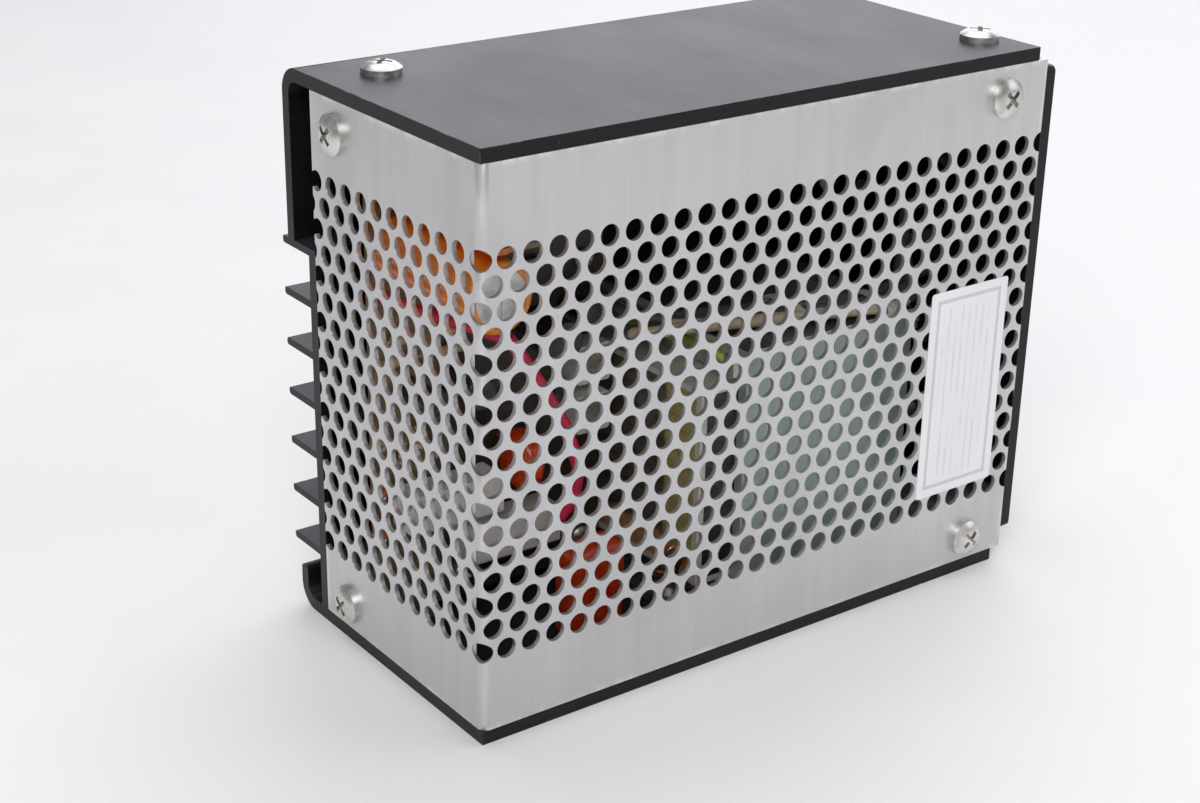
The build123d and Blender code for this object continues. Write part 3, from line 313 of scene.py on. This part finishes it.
def coil_finish(box):
    """The winding: olive tape at the front of its ends, painted shade behind, bare copper at the bottom."""
    finish = Finish("coil_tape", roughness=0.4, coat=0.3)
    sideways = finish.span(finish.sum("ABSOLUTE", finish.axis(finish.facing, 1)), 0.5, 0.8)
    turns = finish.lines(2, 1.1, 0.55)
    broad = finish.noise(6, (1, 1, 0.5), detail=5.0)
    tape = finish.mix(finish.span(broad, 0.3, 0.7), (0.36, 0.31, 0.10), (0.58, 0.51, 0.22))
    tape = finish.mix(finish.sum("MULTIPLY", turns, 0.25), tape, (0.62, 0.55, 0.26))
    # painted shade: deeper than about 13 mm from the front the ends turn dark brown, where shade falls
    uneven = finish.sum("MULTIPLY", finish.noise(4), 2 * MM)
    depth = finish.sum("ADD", finish.axis(finish.place, 1), uneven)
    behind = finish.span(depth, box[0].y + 13 * MM, box[0].y + 14.5 * MM)
    # paper here is the dark colour of that painted shade
    paper = finish.mix(finish.span(broad, 0.3, 0.7), (0.07, 0.055, 0.040), (0.17, 0.14, 0.11))
    tape = finish.mix(behind, tape, paper)
    copper = finish.mix(finish.noise(1.2), (0.48, 0.22, 0.10), (0.78, 0.45, 0.26))
    ragged = finish.sum("MULTIPLY", finish.noise(5), 6 * MM)
    height = finish.sum("ADD", finish.axis(finish.place, 2), ragged)
    bare = finish.span(height, box[0].z + 9 * MM, box[0].z + 11 * MM, 1.0, 0.0)
    colour = finish.mix(bare, tape, copper)
    black = finish.mix(finish.noise(3), (0.010, 0.010, 0.011), (0.035, 0.033, 0.030))
    finish.set("Base Color", finish.mix(sideways, colour, black))
    finish.set("Roughness", finish.span(broad, 0.3, 0.7, 0.30, 0.50))
    finish.bump(turns, 0.6, 0.12)
    finish.bump(finish.noise(2.5), 0.3, 0.1)
    return finish.material


def board_finish(box):
    """Phenolic paper laminate over faint tracks, tan at its left and darkened at its right as painted
    shade.
    """
    finish = Finish("board_phenolic", roughness=0.45, coat=0.2)
    paper = finish.mix(finish.noise(1.2, (1, 1, 3), detail=5.0), (0.13, 0.085, 0.040), (0.27, 0.19, 0.10))
    cells = finish.add("ShaderNodeTexVoronoi")
    cells.feature = "DISTANCE_TO_EDGE"
    finish.feed(cells.inputs["Vector"], finish.place)
    cells.inputs["Scale"].default_value = 1 / (9 * MM)
    tracks = finish.span(cells.outputs["Distance"], 0.10, 0.14)
    colour = finish.mix(finish.sum("MULTIPLY", tracks, 0.30), paper, (0.42, 0.36, 0.16))
    # painted shade: the board darkens towards its right, where it lies in shade
    along = finish.sum("ADD", finish.axis(finish.place, 0), finish.sum("MULTIPLY", finish.noise(7), 5 * MM))
    painted_shade_right = finish.span(along, box[0].x + 15 * MM, box[0].x + 26 * MM, 0.0, 0.9)
    finish.set("Base Color", finish.mix(painted_shade_right, colour, (0.022, 0.018, 0.015)))
    finish.set("Roughness", finish.span(finish.noise(4), 0.3, 0.7, 0.36, 0.52))
    finish.bump(tracks, 0.2, 0.03)
    return finish.material


# how far the leads fall back for each millimetre along X, and where the gap behind the front one lies
LEAD_SLANT = 0.3125
LEAD_GAP = (22.9, 23.2)


def lead_finish(box):
    """Three leads side by side: tan insulation on the front one, slate on the others and on the ends."""
    finish = Finish("wire_beige", roughness=0.38, coat=0.25)
    tan = finish.mix(finish.noise(0.9, (3, 1, 1)), (0.56, 0.44, 0.29), (0.80, 0.68, 0.50))
    slate = finish.mix(finish.noise(0.9, (3, 1, 1)), (0.050, 0.054, 0.062), (0.13, 0.135, 0.15))
    # the leads run slantwise, so their distance from a slanted line tells them apart
    slope = finish.sum("SUBTRACT", finish.axis(finish.place, 0), box[0].x)
    slant = finish.sum("MULTIPLY", slope, LEAD_SLANT)
    across = finish.sum("ADD", finish.sum("SUBTRACT", finish.axis(finish.place, 1), box[0].y), slant)
    behind = finish.span(across, LEAD_GAP[0] * MM, LEAD_GAP[1] * MM)
    finish.set("Base Color", finish.mix(behind, tan, slate))
    finish.set("Roughness", finish.span(finish.noise(1.0), 0.3, 0.7, 0.32, 0.46))
    finish.bump(finish.noise(0.7), 0.15, 0.02)
    return finish.material


def clear_finish(name, colour, weight):
    """A clear moulding or tube, cloudy in places."""
    finish = Finish(name, roughness=0.08)
    finish.set("Transmission Weight", weight)
    paler = tuple(min(1.0, c * 1.35) for c in colour)
    finish.set("Base Color", finish.mix(finish.noise(1.5), colour, paler))
    finish.set("Roughness", finish.span(finish.noise(0.8), 0.3, 0.7, 0.04, 0.18))
    finish.bump(finish.noise(0.5), 0.1, 0.01)
    return finish.material


def floor_finish():
    """A pale table top with a few faint specks and rubbed patches."""
    finish = Finish("floor_pale", roughness=0.6)
    broad = finish.noise(90, detail=3.0)
    colour = finish.mix(finish.span(broad, 0.3, 0.7), (0.845, 0.845, 0.858), (0.865, 0.865, 0.873))
    grit = finish.span(finish.noise(1.1, detail=2.0), 0.74, 0.80, 0.0, 0.35)
    patch = finish.span(finish.noise(34, detail=7.0, rough=0.72), 0.68, 0.80, 0.0, 0.12)
    colour = finish.mix(patch, colour, (0.70, 0.67, 0.64))
    finish.set("Base Color", finish.mix(grit, colour, (0.45, 0.42, 0.40)))
    finish.set("Roughness", finish.span(broad, 0.3, 0.7, 0.58, 0.64))
    finish.bump(finish.noise(0.8), 0.1, 0.02)
    return finish.material


FINISHES = {
    "black_anodised": anodised_finish("black_anodised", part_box("chassis")),
    "cover_aluminium": cover_finish(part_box("perforated_cover")),
    "label_paper": label_finish(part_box("rating_label")),
    "block_aluminium": plain_finish(
        "block_aluminium", (0.48, 0.48, 0.49), (0.68, 0.68, 0.69), 0.42, 0.9, cell=0.3, stretch=(1, 30, 1),
    ),
    "screw_steel": screw_finish("screw_steel", (0.56, 0.55, 0.52), (0.76, 0.75, 0.72), 0.30),
    "panel_black": anodised_finish("panel_black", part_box("end_panel"), top_grain_and_sheen=False),
    "zinc_plate": screw_finish("zinc_plate", (0.50, 0.51, 0.52), (0.70, 0.71, 0.72), 0.34),
    "phenolic_black": plain_finish(
        "phenolic_black", (0.010, 0.010, 0.010), (0.030, 0.029, 0.028), 0.34,
        cell=0.5, mark=(0.10, 0.10, 0.10), coat=0.15,
    ),
    "terminal_brass": screw_finish("terminal_brass", (0.58, 0.55, 0.46), (0.76, 0.73, 0.62), 0.26),
    "lens_green": clear_finish("lens_green", (0.04, 0.42, 0.10), 0.7),
    "bezel_chrome": screw_finish("bezel_chrome", (0.70, 0.70, 0.71), (0.82, 0.82, 0.83), 0.12),
    "latch_nylon": plain_finish(
        "latch_nylon", (0.016, 0.016, 0.018), (0.040, 0.040, 0.043), 0.55,
        cell=0.35, depth=0.04, mark=(0.09, 0.09, 0.09),
    ),
    "spring_steel": screw_finish("spring_steel", (0.40, 0.40, 0.41), (0.58, 0.58, 0.59), 0.28),
    "board_phenolic": board_finish(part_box("circuit_board")),
    "can_aluminium": screw_finish("can_aluminium", (0.62, 0.62, 0.62), (0.80, 0.80, 0.80), 0.30),
    "sleeve_orange": plain_finish(
        "sleeve_orange", (0.80, 0.20, 0.010), (1.0, 0.34, 0.026), 0.30,
        cell=1.2, stretch=(1, 6, 1), coat=0.4,
    ),
    "trimmer_grey": plain_finish(
        "trimmer_grey", (0.72, 0.74, 0.72), (0.88, 0.90, 0.87), 0.36,
        cell=0.6, coat=0.2, mark=(0.32, 0.30, 0.27),
    ),
    "rotor_metal": screw_finish("rotor_metal", (0.62, 0.62, 0.60), (0.78, 0.78, 0.75), 0.26),
    "ceramic_white": plain_finish(
        "ceramic_white", (0.60, 0.59, 0.55), (0.80, 0.79, 0.75), 0.7,
        cell=0.5, depth=0.08, mark=(0.42, 0.38, 0.32),
    ),
    "dip_red": plain_finish(
        "dip_red", (0.50, 0.028, 0.006), (0.78, 0.080, 0.012), 0.24, cell=2.0, depth=0.12, coat=0.6,
    ),
    "capacitor_black": plain_finish(
        "capacitor_black", (0.012, 0.012, 0.014), (0.032, 0.032, 0.036), 0.28, cell=1.0, coat=0.4,
    ),
    "resistor_tan": plain_finish(
        "resistor_tan", (0.45, 0.31, 0.17), (0.66, 0.50, 0.32), 0.35, cell=0.8, coat=0.3,
    ),
    "fuse_glass": clear_finish("fuse_glass", (0.78, 0.84, 0.84), 0.85),
    "can_steel": screw_finish("can_steel", (0.52, 0.51, 0.48), (0.70, 0.69, 0.66), 0.28),
    "mica": plain_finish("mica", (0.55, 0.52, 0.44), (0.76, 0.73, 0.66), 0.35, cell=1.5, coat=0.3),
    "core_steel": core_finish(),
    "bobbin_nylon": plain_finish(
        "bobbin_nylon", (0.66, 0.65, 0.56), (0.84, 0.83, 0.76), 0.45, cell=0.8, mark=(0.50, 0.42, 0.28),
    ),
    "coil_tape": coil_finish(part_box("transformer_coil")),
    "wire_red": plain_finish(
        "wire_red", (0.62, 0.018, 0.070), (0.88, 0.045, 0.13), 0.36, cell=0.8, coat=0.15,
    ),
    "wire_beige": lead_finish(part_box("transformer_leads")),
}


def striped_wire_finish():
    """Yellow insulation with a green stripe wound round it."""
    finish = Finish("wire_green_yellow", roughness=0.38, coat=0.2)
    stripe = finish.span(finish.noise(1.6, (1.2, 2.4, 1.2), detail=1.0), 0.50, 0.54)
    yellow = finish.mix(finish.noise(0.8), (0.50, 0.46, 0.05), (0.66, 0.60, 0.10))
    finish.set("Base Color", finish.mix(stripe, yellow, (0.20, 0.32, 0.04)))
    finish.set("Roughness", finish.span(finish.noise(1.0), 0.3, 0.7, 0.32, 0.46))
    finish.bump(finish.noise(0.7), 0.15, 0.02)
    return finish.material


COPPER = screw_finish("enamelled_copper", (0.74, 0.44, 0.28), (0.92, 0.66, 0.48), 0.22)


def banded_finish(name, dark, light):
    """A small resistor's enamel with colour rings round it, about a millimetre apart along Z."""
    finish = Finish(name, roughness=0.3, coat=0.4)
    enamel = finish.mix(finish.noise(0.7), dark, light)
    rings = finish.lines(2, 1.5, 0.34)
    either = finish.span(finish.noise(1.4), 0.47, 0.53)
    ring_colour = finish.mix(either, (0.35, 0.10, 0.03), (0.03, 0.03, 0.05))
    finish.set("Base Color", finish.mix(finish.sum("MULTIPLY", rings, 0.8), enamel, ring_colour))
    finish.set("Roughness", finish.span(finish.noise(1.0), 0.3, 0.7, 0.24, 0.40))
    finish.bump(finish.noise(0.6), 0.15, 0.02)
    return finish.material


BANDED_TAN = banded_finish("resistor_banded", (0.42, 0.30, 0.17), (0.60, 0.46, 0.29))
BANDED_RED = banded_finish("diode_red", (0.50, 0.06, 0.012), (0.74, 0.15, 0.03))
# painted shade: a near-black filler for the slit beside the end panel
SHADE_FILLER_BLACK = plain_finish(
    "shade_filler_black", (0.008, 0.008, 0.009), (0.026, 0.026, 0.028), 0.9, cell=0.3, depth=0.15, strength=0.8,
)

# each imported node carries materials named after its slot
for piece in nodes.values():
    for place in piece.material_slots:
        place.material = FINISHES[place.material.name.split(".")[0]]


# ---- small rounded edges on the CAD nodes: modifiers only, so their meshes stay as packed ----
WELD_DISTANCE = 0.002 * MM
SHARP_ANGLE = math.radians(40)
EDGE_RADII = {
    "chassis": 0.30,
    "perforated_cover": 0.28,
    "end_panel": 0.25,
    "rear_corner_blocks": 0.20,
    "front_corner_blocks": 0.20,
    "terminal_block": 0.25,
    "din_latch": 0.25,
    "latch_guide": 0.15,
    "transformer_core": 0.25,
    "transformer_coil": 0.9,
    "ceramic_resistors": 0.25,
}
for name, radius in EDGE_RADII.items():
    weld = nodes[name].modifiers.new("joined", "WELD")
    weld.merge_threshold = WELD_DISTANCE
    bevel = nodes[name].modifiers.new("edges", "BEVEL")
    bevel.width = radius * MM
    bevel.segments = 2
    bevel.limit_method = "ANGLE"
    bevel.angle_limit = SHARP_ANGLE
    bevel.harden_normals = True


# ---- pieces made here ----
def new_piece(name, mesh_data, slot_name=None, material=None):
    """A piece fixed to the frame, in a record slot's finish or in a material of its own."""
    piece = bpy.data.objects.new(name, mesh_data)
    bpy.context.scene.collection.objects.link(piece)
    piece.data.materials.append(material or FINISHES[slot_name])
    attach(piece, "frame")
    return piece


def offset(corner, x, y, z):
    """A point that many millimetres from a corner."""
    return Vector(corner) + Vector((x, y, z)) * MM


def skin_mesh(name, rings, ends=True, smooth=False):
    """A closed mesh over rings of points, capped at both ends or joined from the last to the first."""
    mesh = bmesh.new()
    rows = [[mesh.verts.new(point) for point in ring] for ring in rings]
    pairs = list(zip(rows, rows[1:]))
    if not ends:
        pairs.append((rows[-1], rows[0]))
    for first, second in pairs:
        for k in range(len(first)):
            ahead = (k + 1) % len(first)
            mesh.faces.new((first[k], first[ahead], second[ahead], second[k]))
    if ends:
        mesh.faces.new(list(reversed(rows[0])))
        mesh.faces.new(rows[-1])
    bmesh.ops.recalc_face_normals(mesh, faces=mesh.faces)
    for face in mesh.faces:
        face.smooth = smooth and len(face.verts) == 4
    data = bpy.data.meshes.new(name)
    mesh.to_mesh(data)
    mesh.free()
    return data


def round_angles(sides):
    return [2 * math.pi * k / sides for k in range(sides)]


def tube_mesh(name, points, radius, sides=12):
    """A smooth tube along a line of points, closed at both ends."""
    rings = []
    points = [Vector(p) for p in points]
    up = Vector((0, 0, 1))
    for index, point in enumerate(points):
        ahead = points[min(index + 1, len(points) - 1)] - points[max(index - 1, 0)]
        ahead.normalize()
        across = ahead.cross(up)
        if across.length < 1e-3:
            across = ahead.cross(Vector((0, 1, 0)))
        across.normalize()
        up = across.cross(ahead)
        spokes = [across * math.cos(t) + up * math.sin(t) for t in round_angles(sides)]
        rings.append([point + spoke * radius for spoke in spokes])
    return skin_mesh(name, rings, smooth=True)


def smooth_path(points, steps=10):
    """Points on a Catmull-Rom line through the given ones."""
    points = [Vector(p) for p in points]
    padded = [points[0], *points, points[-1]]
    path = []
    for a, b, c, d in zip(padded, padded[1:], padded[2:], padded[3:]):
        square = 2 * a - 5 * b + 4 * c - d
        cube = 3 * b - a - 3 * c + d
        for step in range(steps):
            t = step / steps
            path.append(0.5 * (2 * b + (c - a) * t + square * t * t + cube * t ** 3))
    return path + [points[-1]]


# ---- the latch's return spring; the real one shortens as the latch slides, this one keeps one length ----
SPRING_WIRE = 0.25 * MM
SPRING_TURNS = 9.0
CLOSED_TURNS = 1.2
STEPS_A_TURN = 20


def spring_mesh():
    """Closed coils at both ends and open ones between them."""
    low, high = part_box("latch_spring")
    radius = (high.z - low.z) / 2 - SPRING_WIRE
    middle = (low + high) / 2
    length = high.x - low.x - 2 * SPRING_WIRE
    open_length = length - 4 * CLOSED_TURNS * SPRING_WIRE
    pitch = open_length / (SPRING_TURNS - 2 * CLOSED_TURNS)
    points = []
    for step in range(int(SPRING_TURNS * STEPS_A_TURN) + 1):
        turn = step / STEPS_A_TURN
        closed = min(turn, CLOSED_TURNS) + max(turn - (SPRING_TURNS - CLOSED_TURNS), 0.0)
        along = min(closed * 2 * SPRING_WIRE + (turn - closed) * pitch, length)
        angle = 2 * math.pi * turn
        points.append((
            low.x + SPRING_WIRE + along,
            middle.y + radius * math.cos(angle),
            middle.z + radius * math.sin(angle),
        ))
    return tube_mesh("latch_spring_coil", points, SPRING_WIRE, 10)


spring = new_piece("latch_spring_coil", spring_mesh(), "spring_steel")
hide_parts("latch_spring")
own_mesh(spring)

core_low, core_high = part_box("transformer_core")
coil_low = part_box("transformer_coil")[0]
board_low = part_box("circuit_board")[0]
leads_low, leads_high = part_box("transformer_leads")

# ---- the transformer's earth lead and its winding ends ----
EARTH_RADIUS = 1.15 * MM
EARTH_ROUTE = (
    (-3.4, 4.4, -4.4),
    (-5.0, 3.8, -2.0),
    (-5.2, 5.0, 0.0),
    (-5.0, 8.5, 0.4),
    (-4.8, 15.0, -1.2),
    (-5.0, 30.0, -2.5),
    (-6.0, 44.0, -4.0),
)
WINDING_RADIUS = 0.55 * MM
WINDING_STARTS = ((2.6, 6.5), (5.4, 4.6), (8.4, 5.6))
WINDING_ROUTE = (
    (0, 0, 0),
    (-1.6, 0.3, -0.6),
    (-2.4, 1.2, -3.2),
    (-2.2, 3.2, -6.4),
    (-5.0, 9.0, -7.6),
)

earth_corner = (core_low.x, core_low.y, core_high.z)
earth_path = smooth_path([offset(earth_corner, *point) for point in EARTH_ROUTE])
new_piece("earth_lead", tube_mesh("earth_lead", earth_path, EARTH_RADIUS), material=striped_wire_finish())
for index, (y, z) in enumerate(WINDING_STARTS):
    start = offset(coil_low, 0.6, y, z)
    winding_path = smooth_path([offset(start, *point) for point in WINDING_ROUTE])
    wire_mesh = tube_mesh("winding_end", winding_path, WINDING_RADIUS, 10)
    new_piece(f"winding_end_{index + 1}", wire_mesh, material=COPPER)

# ---- nylon ties round the three leads ----
TIE_PLACES = (0.40, 0.60)
TIE_HALF = (6.3 * MM, 1.6 * MM)
TIE_THICKNESS = 0.5 * MM
TIE_WIDTH = 2.4 * MM
TIE_RISE = 1.9 * MM
TIE_SIDES = 40
TIE_LOOK = 12 * MM


def tie_mesh(centre):
    """A flat band round the X axis, with the outline of a rounded rectangle."""
    rings = []
    half = TIE_WIDTH / 2
    for x, grow in ((-half, 0.0), (-half, TIE_THICKNESS), (half, TIE_THICKNESS), (half, 0.0)):
        ring = []
        for angle in round_angles(TIE_SIDES):
            c, s = math.cos(angle), math.sin(angle)
            reach = (abs(c) ** 3 + abs(s) ** 3) ** (-1 / 3)
            ring.append((
                centre[0] + x,
                centre[1] + c * reach * (TIE_HALF[0] + grow),
                centre[2] + s * reach * (TIE_HALF[1] + grow),
            ))
        rings.append(ring)
    return skin_mesh("lead_tie", rings, ends=False)


for index, share in enumerate(TIE_PLACES):
    x = leads_low.x + share * (leads_high.x - leads_low.x)
    nearby = [v.co.y for v in nodes["transformer_leads"].data.vertices if abs(v.co.x - x) < TIE_LOOK]
    tie_centre = (x, (min(nearby) + max(nearby)) / 2, core_high.z + TIE_RISE)
    new_piece(f"lead_tie_{index + 1}", tie_mesh(tie_centre), "bobbin_nylon")

# ---- a black strip that fills the slit between the chassis and the end panel, standing in for the shade there ----
SLIT_FILLER_BULGE = 0.25 * MM
SLIT_FILLER_WAVE = 0.06 * MM
SLIT_FILLER_WAVE_STEP = 2.3
SLIT_FILLER_FRONT_GAP = 0.2 * MM
SLIT_FILLER_BACK_GAP = 0.3 * MM
SLIT_FILLER_EXTRA = 12 * MM
SLIT_FILLER_STEPS = 24
BULGE_STEPS = 8


def slit_filler_mesh():
    """A closed dark strip along Z that fills the slit as painted shade; its sides bulge a little."""
    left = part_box("chassis")[1].x
    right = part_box("end_panel")[0].x
    bracket_low, bracket_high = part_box("panel_brackets")
    front = bracket_high.y + SLIT_FILLER_FRONT_GAP
    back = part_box("end_panel")[1].y - SLIT_FILLER_BACK_GAP
    shares = [k / BULGE_STEPS for k in range(BULGE_STEPS + 1)]
    outline = [(left + t * (right - left), front - SLIT_FILLER_BULGE * math.sin(math.pi * t)) for t in shares]
    outline += [(right - t * (right - left), back + SLIT_FILLER_BULGE * math.sin(math.pi * t)) for t in shares]
    rings = []
    for step in range(SLIT_FILLER_STEPS + 1):
        z = bracket_low.z + step / SLIT_FILLER_STEPS * (bracket_high.z + SLIT_FILLER_EXTRA - bracket_low.z)
        wave = SLIT_FILLER_WAVE * math.sin(step * SLIT_FILLER_WAVE_STEP)
        rings.append([(x, y + wave, z) for x, y in outline])
    return skin_mesh("slit_shade_filler", rings)


new_piece("slit_shade_filler", slit_filler_mesh(), material=SHADE_FILLER_BLACK)

# ---- upright resistors and diodes along the board's left edge: x, z and enamel ----
AXIAL_SPOTS = (
    (1.8, 35.6, BANDED_RED),
    (1.8, 25.0, BANDED_RED),
    (1.9, 48.0, BANDED_TAN),
    (6.5, 42.0, BANDED_TAN),
    (11.0, 44.5, BANDED_TAN),
    (15.6, 42.5, BANDED_TAN),
)
AXIAL_STAND = 1.7
AXIAL_PROFILE = ((-3.3, 0.35), (-3.2, 0.95), (-2.8, 1.22), (-2.1, 1.22), (-1.6, 1.02))
AXIAL_PROFILE += tuple((-height, radius) for height, radius in reversed(AXIAL_PROFILE))
AXIAL_LEAD = ((0, 3.0), (0, 4.2), (0.25, 4.7), (0.8, 4.9), (AXIAL_STAND, 4.9))
AXIAL_LEAD_RADIUS = 0.3 * MM


def lathe_mesh(name, centre, profile, sides=16):
    """A closed body turned about Z from (height, radius) pairs in millimetres."""
    rings = []
    for height, radius in profile:
        circle = [(radius * math.cos(t), radius * math.sin(t)) for t in round_angles(sides)]
        rings.append([offset(centre, x, y, height) for x, y in circle])
    return skin_mesh(name, rings, smooth=True)


for index, (x, z, enamel) in enumerate(AXIAL_SPOTS):
    centre = offset(board_low, x, -AXIAL_STAND, z)
    new_piece(f"axial_part_{index + 1}", lathe_mesh("axial_part", centre, AXIAL_PROFILE), material=enamel)
    for end, side in (("low", -1), ("high", 1)):
        path = [offset(centre, 0, y, side * height) for y, height in AXIAL_LEAD]
        lead_mesh = tube_mesh("axial_lead", path, AXIAL_LEAD_RADIUS, 8)
        new_piece(f"axial_part_{index + 1}_lead_{end}", lead_mesh, "rotor_metal")

# ---- small signal transistors on the board ----
TRANSISTOR_SPOTS = ((40.5, 30.0), (40.5, 38.0), (46.0, 48.0), (24.5, 44.0))
TRANSISTOR_RADIUS = 2.3 * MM
TRANSISTOR_FLAT = 1.2 * MM
TRANSISTOR_ARC = math.radians(122)
TRANSISTOR_STEPS = 24
TRANSISTOR_PROFILE = ((2.2, 0.96), (2.4, 1.0), (6.6, 0.97), (6.9, 0.90))
LEG_PITCH = 1.27
LEG_LENGTH = 2.4
LEG_RADIUS = 0.25 * MM


def small_transistor_mesh(spot):
    """A moulded three-leg transistor: a flat-fronted round body standing off the board."""
    outline = []
    for k in range(TRANSISTOR_STEPS + 1):
        angle = TRANSISTOR_ARC * (2 * k / TRANSISTOR_STEPS - 1)
        x = max(TRANSISTOR_RADIUS * math.cos(angle), -TRANSISTOR_FLAT)
        outline.append((x, TRANSISTOR_RADIUS * math.sin(angle)))
    rings = []
    for y, shrink in TRANSISTOR_PROFILE:
        rings.append([spot + Vector((x * shrink, -y * MM, z * shrink)) for x, z in outline])
    return skin_mesh("small_transistor", rings)


for index, (x, z) in enumerate(TRANSISTOR_SPOTS):
    spot = offset(board_low, x, 0, z)
    new_piece(f"small_transistor_{index + 1}", small_transistor_mesh(spot), "phenolic_black")
    for leg, step in enumerate((-LEG_PITCH, 0.0, LEG_PITCH)):
        foot = offset(spot, 0, 0, step)
        leg_mesh = tube_mesh("small_transistor_leg", [foot, offset(foot, 0, -LEG_LENGTH, 0)], LEG_RADIUS, 8)
        new_piece(f"small_transistor_{index + 1}_leg_{leg + 1}", leg_mesh, "rotor_metal")

# ---- studio: lengths in metres, lights in watts ----
FLOOR_SIZE = 3.4
FLOOR_SQUARES = 8
SKY_COLOUR = (0.97, 0.97, 1.0, 1.0)
SKY_LIGHT = 0.30
SKY_SEEN = 0.72
LIGHTS = (
    ("key_light", (-0.9, -1.0, 1.1), (1.0, 0.8), 15.5, (1.0, 0.99, 0.97)),
    ("top_light", (0.3, 0.4, 1.5), (1.6, 1.2), 11.5, (1.0, 1.0, 1.0)),
    ("fill_light", (1.1, -0.9, 0.7), (0.9, 0.9), 3.5, (0.97, 0.98, 1.0)),
    ("rear_light", (1.6, 1.3, 0.95), (2.2, 1.2), 15.0, (0.93, 0.94, 1.0)),
)

bpy.ops.mesh.primitive_grid_add(x_subdivisions=FLOOR_SQUARES, y_subdivisions=FLOOR_SQUARES, size=FLOOR_SIZE)
floor = bpy.context.object
floor.name = "studio_floor"
floor.location.z = cad_low.z
floor.data.materials.append(floor_finish())

world = bpy.data.worlds.new("studio_world")
bpy.context.scene.world = world
world.use_nodes = True
background = world.node_tree.nodes["Background"]
background.inputs["Color"].default_value = SKY_COLOUR
# the light it gives is soft, and what shows past the floor's edge is pale
ray = world.node_tree.nodes.new("ShaderNodeLightPath")
haze = world.node_tree.nodes.new("ShaderNodeMapRange")
haze.inputs["To Min"].default_value = SKY_LIGHT
haze.inputs["To Max"].default_value = SKY_SEEN
world.node_tree.links.new(ray.outputs["Is Camera Ray"], haze.inputs["Value"])
world.node_tree.links.new(haze.outputs[0], background.inputs["Strength"])


def soft_light(name, place, size, power, colour):
    """An area light that faces the model's middle."""
    data = bpy.data.lights.new(name, "AREA")
    data.shape = "RECTANGLE"
    data.size, data.size_y = size
    data.energy = power
    data.color = colour
    light = bpy.data.objects.new(name, data)
    bpy.context.scene.collection.objects.link(light)
    light.location = place
    light.rotation_mode = "QUATERNION"
    light.rotation_quaternion = (middle - Vector(place)).to_track_quat("-Z", "Y")


middle = (cad_low + cad_high) / 2
for light_settings in LIGHTS:
    soft_light(*light_settings)

# ---- camera ----
azimuth, elevation, roll = (math.radians(a) for a in (CAMERA_AZIMUTH, CAMERA_ELEVATION, CAMERA_ROLL))
back = Vector((
    math.sin(azimuth) * math.cos(elevation),
    -math.cos(azimuth) * math.cos(elevation),
    math.sin(elevation),
))
level = (-back).cross(Vector((0, 0, 1))).normalized()
upright = level.cross(-back)
right = math.cos(roll) * level + math.sin(roll) * upright
above = -math.sin(roll) * level + math.cos(roll) * upright
camera_data = bpy.data.cameras.new("camera")
camera_data.lens = CAMERA_LENS
camera_data.sensor_width = SENSOR_WIDTH
camera_data.clip_start = 0.01
camera_data.clip_end = 30.0
camera = bpy.data.objects.new("camera", camera_data)
bpy.context.scene.collection.objects.link(camera)
camera.matrix_world = Matrix.Translation(CAMERA_PLACE) @ Matrix((right, above, back)).transposed().to_4x4()
bpy.context.scene.camera = camera
bpy.context.scene.view_settings.view_transform = "Standard"
